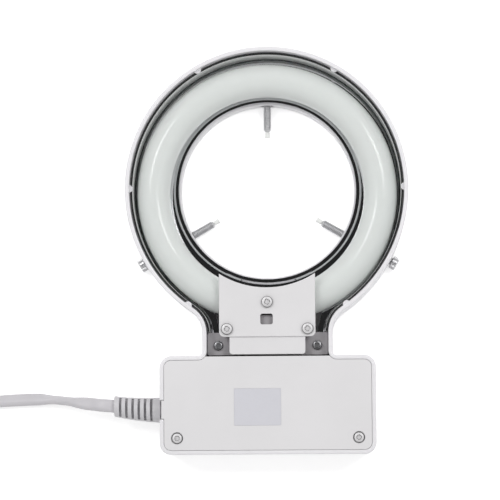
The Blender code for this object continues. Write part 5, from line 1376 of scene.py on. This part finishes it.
@dataclass
class ClampScrews:
    """The three thumbscrews with nylon tips, and the threaded inserts that carry them.

    Heights along a screw are measured from the free end of its tip.
    """

    shape: Keyhole
    crest: float = 0.00193
    thread_depth: float = 0.00040
    pitch: float = 0.0007
    thread_steps: int = 20
    tip_length: float = 0.0029
    cone_length: float = 0.0010
    neck_radius: float = 0.00115
    seat: float = 0.0403
    knob_radius: float = 0.00315
    knob_length: float = 0.0030
    knob_chamfer: float = 0.0004
    ridges: int = 12
    ridge_steps: int = 8
    groove: float = 0.00042
    stem_radius: float = 0.00055
    stem_length: float = 0.0022
    tip_radius: float = 0.00105
    tip_flare: float = 0.00118
    insert_radius: float = 0.00295
    insert_near: float = 0.0410
    insert_length: float = 0.0060
    insert_groove: float = 0.0004
    height: float = 0.0046
    fine_round: float = 0.0001
    edge_round: float = 0.0002
    soft_round: float = 0.0003

    def thread(self) -> BMesh:
        """The threaded rod, with flat ends."""
        low = self.tip_length + self.cone_length
        turns = math.ceil((self.seat - low) / self.pitch) + 3
        root, land = self.crest - self.thread_depth, self.pitch / 16
        profile = (
            (root, 0), (root, land), (self.crest, self.pitch / 2 - land),
            (self.crest, self.pitch / 2 + land), (root, self.pitch))
        bm = bmesh.new()
        verts = [bm.verts.new((r, 0, low - 2 * self.pitch + z)) for r, z in profile]
        edges = [bm.edges.new(pair) for pair in zip(verts, verts[1:])]
        bmesh.ops.spin(
            bm, geom=verts + edges, cent=(0, 0, 0), axis=(0, 0, 1),
            dvec=(0, 0, self.pitch / self.thread_steps), angle=FULL_TURN * turns,
            steps=self.thread_steps * turns, use_merge=False, use_duplicate=False)
        bmesh.ops.remove_doubles(bm, verts=bm.verts, dist=WELD * 10)
        trim(bm, (0, 0, low), (0, 0, -1))
        trim(bm, (0, 0, self.seat + GAP), (0, 0, 1))
        return bm

    def knob(self) -> BMesh:
        """The ridged knob with chamfered ends."""
        bm = bmesh.new()
        ring = bmesh.ops.create_circle(
            bm, cap_ends=False, segments=self.ridge_steps * self.ridges,
            radius=self.knob_radius)["verts"]
        for vert in ring:
            turn = math.atan2(vert.co.y, vert.co.x) * self.ridges
            vert.co *= 1 - self.groove * max(0.0, math.cos(turn)) / self.knob_radius
        bmesh.ops.translate(bm, vec=(0, 0, self.seat), verts=ring)
        shrink = 1 - self.knob_chamfer / self.knob_radius
        bmesh.ops.scale(bm, vec=(shrink, shrink, 1), verts=ring)
        stack_rings(bm, bm.edges[:], [((scale, scale, 1), (0, 0, rise)) for scale, rise in (
            (1 / shrink, self.knob_chamfer),
            (1.0, self.knob_length - 2 * self.knob_chamfer),
            (shrink, self.knob_chamfer))])
        return bm

    def screw(self) -> bpy.types.Object:
        """The steel screw, standing on +Z."""
        screw = from_bmesh("clamp_screw", self.thread())
        cone = bmesh.new()
        lathe(cone, (
            (0, self.tip_length), (self.neck_radius, self.tip_length),
            (self.crest - WELD * 100, self.tip_length + self.cone_length),
            (self.neck_radius, self.tip_length + self.cone_length + SINK),
            (0, self.tip_length + self.cone_length + SINK)), 40)
        combine(screw, cone, Meeting.JOIN)
        combine(screw, self.knob(), Meeting.JOIN)
        dish = bmesh.new()
        face = self.seat + self.knob_length
        lathe(dish, (
            (0, face - GAP), (self.knob_radius * 0.55, face - GAP),
            (self.knob_radius * 0.75, face + GAP), (0, face + GAP)), 48)
        combine(screw, dish, Meeting.CUT)
        stem = bmesh.new()
        bar(stem, self.stem_radius + GAP, (0, 0, self.tip_length - OVERRUN),
            (0, 0, self.tip_length + self.stem_length + GAP), 24)
        combine(screw, stem, Meeting.CUT)
        return screw

    def tip(self) -> bpy.types.Object:
        """The nylon tip, standing on +Z."""
        bm = bmesh.new()
        lathe(bm, rounded((
            (0, 0, 0), (self.tip_flare, 0, self.edge_round),
            (self.tip_flare, self.tip_length * 0.12, self.fine_round),
            (self.tip_radius, self.tip_length * 0.35, self.soft_round),
            (self.tip_radius, self.tip_length - GAP, self.fine_round),
            (self.stem_radius, self.tip_length - GAP, 0),
            (self.stem_radius, self.tip_length + self.stem_length, 0),
            (0, self.tip_length + self.stem_length, 0))), 40)
        return from_bmesh("nylon_tip", bm)

    def insert(self) -> bpy.types.Object:
        """The threaded insert with a grooved waist, its near face at zero."""
        outer, length, groove = self.insert_radius, self.insert_length, self.insert_groove
        middle = length / 2
        bm = bmesh.new()
        lathe(bm, rounded((
            (self.crest + GAP, 0, 0),
            (outer, 0, self.edge_round),
            (outer, middle - groove * 1.5, 0),
            (outer - groove, middle - groove, 0),
            (outer - groove, middle + groove, 0),
            (outer, middle + groove * 1.5, 0),
            (outer, length, self.edge_round),
            (self.crest + GAP, length, 0))), 48, closed=True)
        return from_bmesh("brass_insert", bm)

    def build(self, wardrobe: Wardrobe, joints: list[dict]) -> None:
        """Model one of each piece, and place and dress a copy for each side.

        Args:
            wardrobe: dresses the pieces.
            joints: the frame's joints, which give each screw's end and axis.
        """
        screw, tip, insert = self.screw(), self.tip(), self.insert()
        for side in SIDES:
            joint = next(j for j in joints if j["name"] == f"{side}_screw_turn")
            axis, end = Vector(joint["axis"]), Vector(joint["pos_m"])
            near = Vector((0, self.shape.centre_y, self.height)) + axis * self.insert_near
            for blank, node, slot, finish, body, place in (
                    (screw, "thumbscrew", Slot.screw_steel, Slot.turned_steel,
                     f"{side}_screw", end),
                    (tip, "screw_tip", Slot.nylon, None, f"{side}_screw_end", end),
                    (insert, "threaded_insert", Slot.brass, None, LIGHT_BODY, near)):
                mesh = blank.data.copy()
                mesh.transform(Matrix.Translation(place) @ turned_to(axis))
                piece = from_mesh(f"{side}_{node}_fine", mesh)
                shade(piece)
                wardrobe.dress(piece, slot, [f"{node}_{side}"], body, finish)
        for blank in (screw, tip, insert):
            remove(blank)


# Strain relief, cord and plug

@dataclass
class StrainRelief:
    """The slotted strain relief in the box's left wall; distances are from that wall."""

    shape: Keyhole
    at: float = 0.1026
    height: float = 0.0150
    wall: float = 0.0019
    neck_radius: float = 0.0042
    flange_radius: float = 0.0057
    flange: float = 0.0020
    flange_round: float = 0.0003
    root_round: float = 0.0004
    end_round: float = 0.0006
    root_radius: float = 0.00585
    end_radius: float = 0.0048
    length: float = 0.0221
    rings: int = 24
    collar: float = 0.0040
    slots: int = 6
    slot_pitch: float = 0.0029
    slot_width: float = 0.0012
    web: float = 0.0006
    core_half: float = 0.0013
    bend: float = math.radians(5)
    cord_sunk: float = 0.0012
    cord_seat: Pair = (0.0031, 0.00215)

    def radius_at(self, distance: float) -> float:
        """The tapering radius at a distance."""
        return self.root_radius + (self.end_radius - self.root_radius) * distance / self.length

    def bend_at(self, distance: float) -> float:
        """How far the bent axis has moved towards +Y at a distance."""
        share = max(0.0, distance) / self.length
        return self.length * share * math.sin(self.bend * share)

    def axis(self, distance: float) -> Vector:
        """A point of the bent axis."""
        return Vector((-self.shape.box_half_width - distance,
                       self.shape.y(self.at) + self.bend_at(distance), self.height))

    def build(self, wardrobe: Wardrobe) -> bpy.types.Object:
        """Model and dress the relief, standing on +Z at first.

        Args:
            wardrobe: dresses the piece.

        Returns:
            The relief.
        """
        inside = -self.wall - GAP
        runs = [GAP + (self.length - GAP) * i / self.rings for i in range(1, self.rings)]
        bm = bmesh.new()
        lathe(bm, rounded((
            (0, inside - self.flange, 0),
            (self.flange_radius, inside - self.flange, self.flange_round),
            (self.flange_radius, inside, self.flange_round),
            (self.neck_radius, inside, 0),
            (self.neck_radius, GAP, 0),
            (self.root_radius, GAP, self.root_round),
            *((self.radius_at(run), run, 0) for run in runs),
            (self.end_radius, self.length, self.end_round),
            (0, self.length, 0),
        )), 72)
        relief = from_bmesh("cord_relief", bm)
        slots = bmesh.new()
        for i in range(self.slots):
            low = self.collar + self.slot_pitch * i
            half = self.radius_at(low + self.slot_width / 2) - self.web
            reach = self.root_radius + OVERRUN
            block(slots, (-reach, -half, low), (-self.core_half, half, low + self.slot_width))
            block(slots, (self.core_half, -half, low), (reach, half, low + self.slot_width))
        combine(relief, slots, Meeting.CUT)
        seat = bmesh.new()
        across, thin = self.cord_seat
        block(seat, (-thin, -across, self.length - self.cord_sunk),
              (thin, across, self.length + OVERRUN), thin * 0.98)
        combine(relief, seat, Meeting.CUT)
        for vert in relief.data.vertices:
            vert.co.y += self.bend_at(vert.co.z)
        relief.data.transform(
            Matrix.Translation((-self.shape.box_half_width, self.shape.y(self.at), self.height))
            @ Matrix(((0, 0, -1, 0), (0, 1, 0, 0), (1, 0, 0, 0), (0, 0, 0, 1))))
        shade(relief)
        return wardrobe.dress(relief, Slot.relief_grey, ["strain_relief"])


@dataclass
class Coil:
    """The unseen length, wound into a neat coil of two layers."""

    x: float = -0.1800
    y: float = -0.0520
    inner: float = 0.0255
    pitch: float = 0.0065
    layer: float = 0.0066
    turns_in: float = 3.0
    climb: float = 0.5
    turns_out: float = 2.75
    points: int = 48
    lead_in: float = 0.0060
    rest: float = 0.00305

    def centreline(self, centre_y: float) -> list[Vector]:
        """Points that spiral in, climb a layer and spiral out again.

        Args:
            centre_y: Y of the ring's centre.

        Returns:
            The coil's points.
        """
        middle = Vector((self.x, centre_y + self.y, 0))
        outer = self.inner + self.pitch * self.turns_in
        points = [middle + Vector((self.lead_in, -outer, self.rest))]
        total = self.turns_in + self.climb + self.turns_out
        count = round(total * self.points)
        for i in range(count + 1):
            turn = total * i / count
            angle = -QUARTER_TURN - FULL_TURN * turn
            if turn <= self.turns_in:
                radius, rise = outer - self.pitch * turn, 0.0
            elif turn <= self.turns_in + self.climb:
                share = (turn - self.turns_in) / self.climb
                radius = self.inner - self.pitch * self.climb * min(share, 1 - share)
                rise = (1 - math.cos(math.pi * share)) / 2
            else:
                radius = self.inner + self.pitch * (turn - self.turns_in - self.climb)
                rise = 1.0
            points.append(middle + Vector((
                radius * math.cos(angle), radius * math.sin(angle),
                self.rest + self.layer * rise)))
        points.append(points[-1] + Vector((0, self.lead_in, 0)))
        return points


@dataclass
class FlatCord:
    """The flat two-core cord: from the relief along the bench, into the coil and to the plug.

    It is flat at the relief and at the plug, and stands on edge where it is coiled.
    """

    shape: Keyhole
    relief: StrainRelief
    coil: Coil
    width: float = 0.0060
    thickness: float = 0.0041
    route: tuple[Triple, ...] = (
        (-0.0793, -0.1000, 0.0143),
        (-0.0868, -0.0991, 0.0112),
        (-0.0940, -0.0981, 0.0070),
        (-0.1015, -0.0973, 0.0038),
        (-0.1095, -0.0970, 0.00305),
        (-0.1190, -0.0973, 0.00305),
        (-0.1330, -0.0980, 0.00305),
        (-0.1480, -0.0980, 0.00305),
        (-0.1620, -0.09735, 0.00305),
    )
    tail: tuple[Triple, ...] = (
        (0.0, 0.0180, 0.00965),
        (0.0001, 0.0300, 0.00945),
        (0.0002, 0.0420, 0.0085),
        (0.0002, 0.0520, 0.0075),
    )
    plug_distance: float = 0.0600
    plug_height: float = 0.00705
    rolls: tuple[Pair, ...] = (
        (0.0, 0.0), (0.012, 8.0), (0.026, 90.0), (0.032, 90.0), (0.043, 32.0), (0.052, 30.0),
        (0.085, 90.0))
    tail_roll: Pair = (0.016, 0.054)
    settling: Pair = (0.0070, 0.0150)
    step: float = 0.0025
    end_steps: int = 8
    finer_steps: int = 20

    def smooth_route(self, route: Sequence[Vector]) -> list[Vector]:
        """Points at an even step along a smooth curve through a route.

        Args:
            route: the points that it goes through.

        Returns:
            The finer points.
        """
        knots = [2 * route[0] - route[1], *route, 2 * route[-1] - route[-2]]
        fine = []
        for a, b, c, d in zip(knots, knots[1:], knots[2:], knots[3:]):
            for u in (i / self.finer_steps for i in range(self.finer_steps)):
                fine.append(0.5 * (
                    2 * b + (c - a) * u + (2 * a - 5 * b + 4 * c - d) * u * u
                    + (3 * b - a - 3 * c + d) * u * u * u))
        fine.append(knots[-2])
        length = sum((q - p).length for p, q in zip(fine, fine[1:]))
        count = round(length / self.step)
        picked, run = [fine[0]], 0.0
        for p, q in zip(fine, fine[1:]):
            span = (q - p).length
            while len(picked) < count and run + span >= length / count * len(picked):
                picked.append(p.lerp(q, (length / count * len(picked) - run) / span))
            run += span
        return picked + [fine[-1]]

    def centreline(self) -> list[Vector]:
        """The whole cord's points, from the relief to the plug."""
        coil = self.coil.centreline(self.shape.centre_y)
        start = self.relief.axis(self.relief.length - self.relief.cord_sunk + GAP)
        leave = self.relief.axis(self.relief.length + GAP)
        route = [start, leave, leave + Vector((-self.coil.lead_in, SINK, 0))]
        route += [Vector((x, self.shape.centre_y + y, z)) for x, y, z in self.route]
        route += [coil[0] + Vector((self.coil.lead_in, 0, 0)), coil[0]]
        end = coil[-1]
        tail = [end] + [Vector((end.x + x, end.y + y, z)) for x, y, z in self.tail]
        tail.append(
            Vector((end.x + self.tail[-1][0], end.y + self.plug_distance - GAP, self.plug_height)))
        return self.smooth_route(route) + coil[1:-1] + self.smooth_route(tail)

    def roll_at(self, run: float, left: float) -> float:
        """The cord's roll at a length from its start.

        Args:
            run: length from the start.
            left: length to the plug.

        Returns:
            The roll as an angle.
        """
        near, far = self.tail_roll
        if left < far:
            share = max(0.0, (left - near) / (far - near))
            return QUARTER_TURN * share * share * (3 - 2 * share)
        for (a, low), (b, high) in zip(self.rolls, self.rolls[1:]):
            if run <= b:
                share = (run - a) / (b - a)
                return math.radians(low + (high - low) * share * share * (3 - 2 * share))
        return QUARTER_TURN

    def settle(self, points: Sequence[Vector], rolls: Sequence[float]) -> None:
        """Lower the cord onto the bench where it lies flatter than its full width."""
        low, high = self.settling
        spare = (self.width - self.thickness) / 2
        for point, roll in zip(points, rolls):
            share = max(0.0, min(1.0, (high - point.z) / (high - low)))
            if point.y < points[-1].y - self.tail_roll[1]:
                point.z -= spare * (1 - math.sin(roll)) * share

    def section(self) -> bpy.types.Object:
        """The cord's cross-section, flat with round ends, as a closed curve."""
        radius = self.thickness / 2
        flat = self.width / 2 - radius
        turns = [(side, math.pi * (1 - side / 2 - i / self.end_steps))
                 for side in (1, -1) for i in range(self.end_steps + 1)]
        curve = bpy.data.curves.new("cord_section", "CURVE")
        curve.dimensions = "2D"
        spline = curve.splines.new("POLY")
        spline.points.add(len(turns) - 1)
        for at, (side, turn) in zip(spline.points, turns):
            at.co = (side * flat + radius * math.cos(turn), radius * math.sin(turn), 0, 1)
        spline.use_cyclic_u = True
        made = bpy.data.objects.new("cord_section", curve)
        bpy.context.scene.collection.objects.link(made)
        return made

    def sweep(self, points: Sequence[Vector], rolls: Sequence[float]) -> bpy.types.Object:
        """Sweep the section along the points with their rolls."""
        section = self.section()
        curve = bpy.data.curves.new("cord_sweep", "CURVE")
        curve.dimensions = "3D"
        curve.twist_mode = "Z_UP"
        curve.bevel_mode = "OBJECT"
        curve.bevel_object = section
        curve.use_fill_caps = True
        spline = curve.splines.new("POLY")
        spline.points.add(len(points) - 1)
        for at, point, roll in zip(spline.points, points, rolls):
            at.co = (*point, 1)
            at.tilt = roll
        path = bpy.data.objects.new("cord_sweep", curve)
        bpy.context.scene.collection.objects.link(path)
        bm = bmesh.new()
        bm.from_mesh(settled_mesh(path))
        remove(path)
        remove(section)
        return from_bmesh("flat_cord", bm)

    def build(self, wardrobe: Wardrobe, with_pieces: Sequence[bpy.types.Object]) -> None:
        """Args:
            wardrobe: dresses the piece.
            with_pieces: the relief, the plug and its pins; not used.
        """
        points = self.centreline()
        runs = [0.0]
        for p, q in zip(points, points[1:]):
            runs.append(runs[-1] + (q - p).length)
        rolls = [self.roll_at(run, runs[-1] - run) for run in runs]
        self.settle(points, rolls)
        cord = self.sweep(points, rolls)
        shade(cord, math.radians(50))
        wardrobe.dress(cord, Slot.cord_grey, ["cord_lead", "cord_coil", "cord_tail"])
        length = sum((q - p).length for p, q in zip(points, points[1:]))
        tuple(points[0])
        LOG.info("cord: %.3f m", length)


@dataclass
class Plug:
    """The flat two-pin plug at the cord's end: a grip that widens from its sleeve."""

    shares: tuple[Triple, ...] = (
        (0.0, 0.26, 0.62), (0.03, 0.285, 0.68), (0.16, 0.285, 0.70), (0.19, 0.31, 0.74),
        (0.34, 0.34, 0.78), (0.40, 0.44, 0.88), (0.46, 0.60, 0.97), (0.55, 0.69, 0.99),
        (0.70, 0.82, 1.0), (0.84, 0.93, 1.0), (0.95, 1.0, 1.0), (0.985, 0.99, 0.97),
        (1.0, 0.95, 0.90))
    power: float = 0.62
    around: int = 64
    seat_radius: float = 0.0023
    seat_depth: float = 0.0033

    def body(self, wardrobe: Wardrobe) -> bpy.types.Object:
        """Model and dress the plug's body.

        Args:
            wardrobe: dresses the piece.

        Returns:
            The body.
        """
        low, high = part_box("plug_body")
        middle, half = (low + high) / 2, (high - low) / 2
        bm = bmesh.new()
        ring = bmesh.ops.create_circle(
            bm, cap_ends=False, segments=self.around, radius=1.0)["verts"]
        for vert in ring:
            x, z = vert.co.x, vert.co.y
            vert.co = (math.copysign(abs(x) ** self.power, x) * half.x, 0,
                       math.copysign(abs(z) ** self.power, z) * half.z)
        bmesh.ops.scale(bm, vec=(self.shares[0][1], 1, self.shares[0][2]), verts=ring)
        stack_rings(bm, bm.edges[:], [
            ((wider / wide, 1, taller / tall), (0, (far - near) * 2 * half.y, 0))
            for (near, wide, tall), (far, wider, taller) in zip(self.shares, self.shares[1:])])
        bmesh.ops.translate(bm, vec=(middle.x, low.y, middle.z), verts=bm.verts)
        body = from_bmesh("plug_grip", bm)
        seats = bmesh.new()
        for node in ("plug_pin_left", "plug_pin_right"):
            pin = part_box(node)
            x = (pin[0].x + pin[1].x) / 2
            bar(seats, self.seat_radius, (x, high.y - self.seat_depth, middle.z),
                (x, high.y + OVERRUN, middle.z), 32)
        combine(body, seats, Meeting.CUT)
        shade(body)
        return wardrobe.dress(body, Slot.relief_grey, ["plug_body"])

    def pin(self, node: str, wardrobe: Wardrobe) -> bpy.types.Object:
        """Model and dress a round pin with a rounded nose.

        Args:
            node: the CAD pin that it replaces.
            wardrobe: dresses the piece.

        Returns:
            The pin.
        """
        low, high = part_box(node)
        radius, length = (high.x - low.x) / 2, high.y - low.y
        bm = bmesh.new()
        lathe(bm, rounded((
            (0, 0, 0), (radius, 0, 0), (radius, length, radius * 0.6), (0, length, 0)), 6), 48)
        pin = from_bmesh(f"{node}_fine", bm)
        middle = (low + high) / 2
        pin.data.transform(
            Matrix.Translation((middle.x, low.y, middle.z)) @ turned_to(Vector((0, 1, 0))))
        shade(pin)
        return wardrobe.dress(pin, Slot.screw_steel, [node], finish=Slot.turned_steel)


# Studio

@dataclass
class Studio:
    """Camera, floor, plain world and two soft lights."""

    camera_at: Triple = (0.0342, -0.0936, 1.200)
    aim: Triple = (-0.0077, -0.0021, 0.030)
    roll: float = math.radians(-0.361)
    lens: float = 183.15
    floor_size: float = 6.0
    floor_colour: Triple = (0.80, 0.80, 0.80)
    floor_roughness: float = 0.9
    floor_glow: float = 0.5
    sky: float = 0.62
    dim_zenith: float = 0.02
    zenith_edge: Pair = (0.86, 0.95)
    lamps: tuple[tuple[Triple, float, float], ...] = (
        ((-0.55, 0.35, 1.15), 0.36, 4.0),
        ((0.55, 0.35, 1.15), 0.36, 4.0),
    )

    def camera(self) -> None:
        """Place the camera with +Y up in its picture."""
        data = bpy.data.cameras.new("camera")
        data.lens = self.lens
        data.clip_start = 0.01
        made = bpy.data.objects.new("camera", data)
        at, aim = Vector(self.camera_at), Vector(self.aim)
        back = (at - aim).normalized()
        right = Vector((0, 1, 0)).cross(back).normalized()
        turn = Matrix((right, back.cross(right), back)).transposed()
        turn = turn @ Matrix.Rotation(self.roll, 3, "Z")
        made.matrix_world = Matrix.Translation(at) @ turn.to_4x4()
        bpy.context.scene.collection.objects.link(made)
        bpy.context.scene.camera = made

    def floor(self) -> None:
        """Lay the pale floor, a little brighter to the camera and in reflections."""
        bm = bmesh.new()
        bmesh.ops.create_grid(bm, x_segments=1, y_segments=1, size=self.floor_size / 2)
        floor = from_bmesh("studio_floor", bm)
        graph = Graph("studio_floor")
        graph.surface(
            Base_Color=(*self.floor_colour, 1.0), Roughness=self.floor_roughness,
            Specular_IOR_Level=0.0, Emission_Color=WHITE,
            Emission_Strength=graph.by_ray(self.floor_glow, 0.0))
        floor.data.materials.append(graph.material)

    def world(self) -> None:
        """Light the scene evenly, and show white round it with a dimmer zenith."""
        world = bpy.data.worlds.new("studio")
        world.use_nodes = True
        nodes = Nodes(world.node_tree)
        place = nodes.add("ShaderNodeTexCoord").outputs["Generated"]
        height = nodes.add("ShaderNodeSeparateXYZ", Vector=place).outputs["Z"]
        zenith = nodes.spread(height, 1.0, self.dim_zenith, self.zenith_edge)
        zenith.node.interpolation_type = "SMOOTHSTEP"
        rays = nodes.add("ShaderNodeLightPath").outputs
        strength = nodes.add(
            "ShaderNodeMix", Factor=nodes.by_ray(1.0, 0.0), A=self.sky,
            B=nodes.math("MAXIMUM", zenith, rays["Is Camera Ray"]))
        nodes.fill(world.node_tree.nodes["Background"], {
            "Color": WHITE, "Strength": strength.outputs["Result"]})
        bpy.context.scene.world = world

    def lights(self) -> None:
        """Hang the two soft lights."""
        for i, (place, size, power) in enumerate(self.lamps):
            data = bpy.data.lights.new(f"soft_light_{i + 1}", "AREA")
            data.shape = "DISK"
            data.size = size
            data.energy = power
            made = bpy.data.objects.new(data.name, data)
            at = Vector(place)
            made.matrix_world = Matrix.Translation(at) @ turned_to(at - Vector(self.aim))
            bpy.context.scene.collection.objects.link(made)

    def build(self) -> None:
        """Set the whole studio up."""
        self.camera()
        self.floor()
        self.world()
        self.lights()
        bpy.context.scene.view_settings.view_transform = "Standard"


def main() -> None:
    """Build every sub-assembly in order."""
    logging.basicConfig(level=logging.INFO, format="%(name)s: %(message)s")
    Studio().build()
    shape = Keyhole(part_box("housing")[1].y - Keyhole.ring_radius)
    wardrobe = Wardrobe()
    relief = StrainRelief(shape)
    plug = Plug()
    with_pieces = [relief.build(wardrobe), plug.body(wardrobe)]
    with_pieces += [plug.pin(node, wardrobe) for node in ("plug_pin_left", "plug_pin_right")]
    FlatCord(shape, relief, Coil()).build(wardrobe, with_pieces)
    Housing(shape).build(wardrobe)
    Reflector(shape).build(wardrobe)
    Lamp(shape).build(wardrobe)
    RetainingPlate(shape).build(wardrobe)
    BoxCover(shape).build(wardrobe)
    for node, style, slot, turn in (
            ("plate_screw_middle", HeadStyle.PLATE, Slot.screw_steel, 20),
            ("plate_screw_left", HeadStyle.PLATE, Slot.screw_steel, 15),
            ("plate_screw_right", HeadStyle.PLATE, Slot.screw_steel, 8),
            ("ear_screw_left", HeadStyle.EAR, Slot.dark_screw, 30),
            ("ear_screw_right", HeadStyle.EAR, Slot.dark_screw, 55),
            ("cover_screw_left", HeadStyle.COVER, Slot.screw_steel, 40),
            ("cover_screw_right", HeadStyle.COVER, Slot.screw_steel, 5)):
        Screw(node, style, slot, math.radians(turn)).build(wardrobe)
    ClampScrews(shape).build(wardrobe, frame["joints"])
    wardrobe.dress_carried(frame["nodes"], frame["record"]["subparts"])


if __name__ == "__main__":
    main()
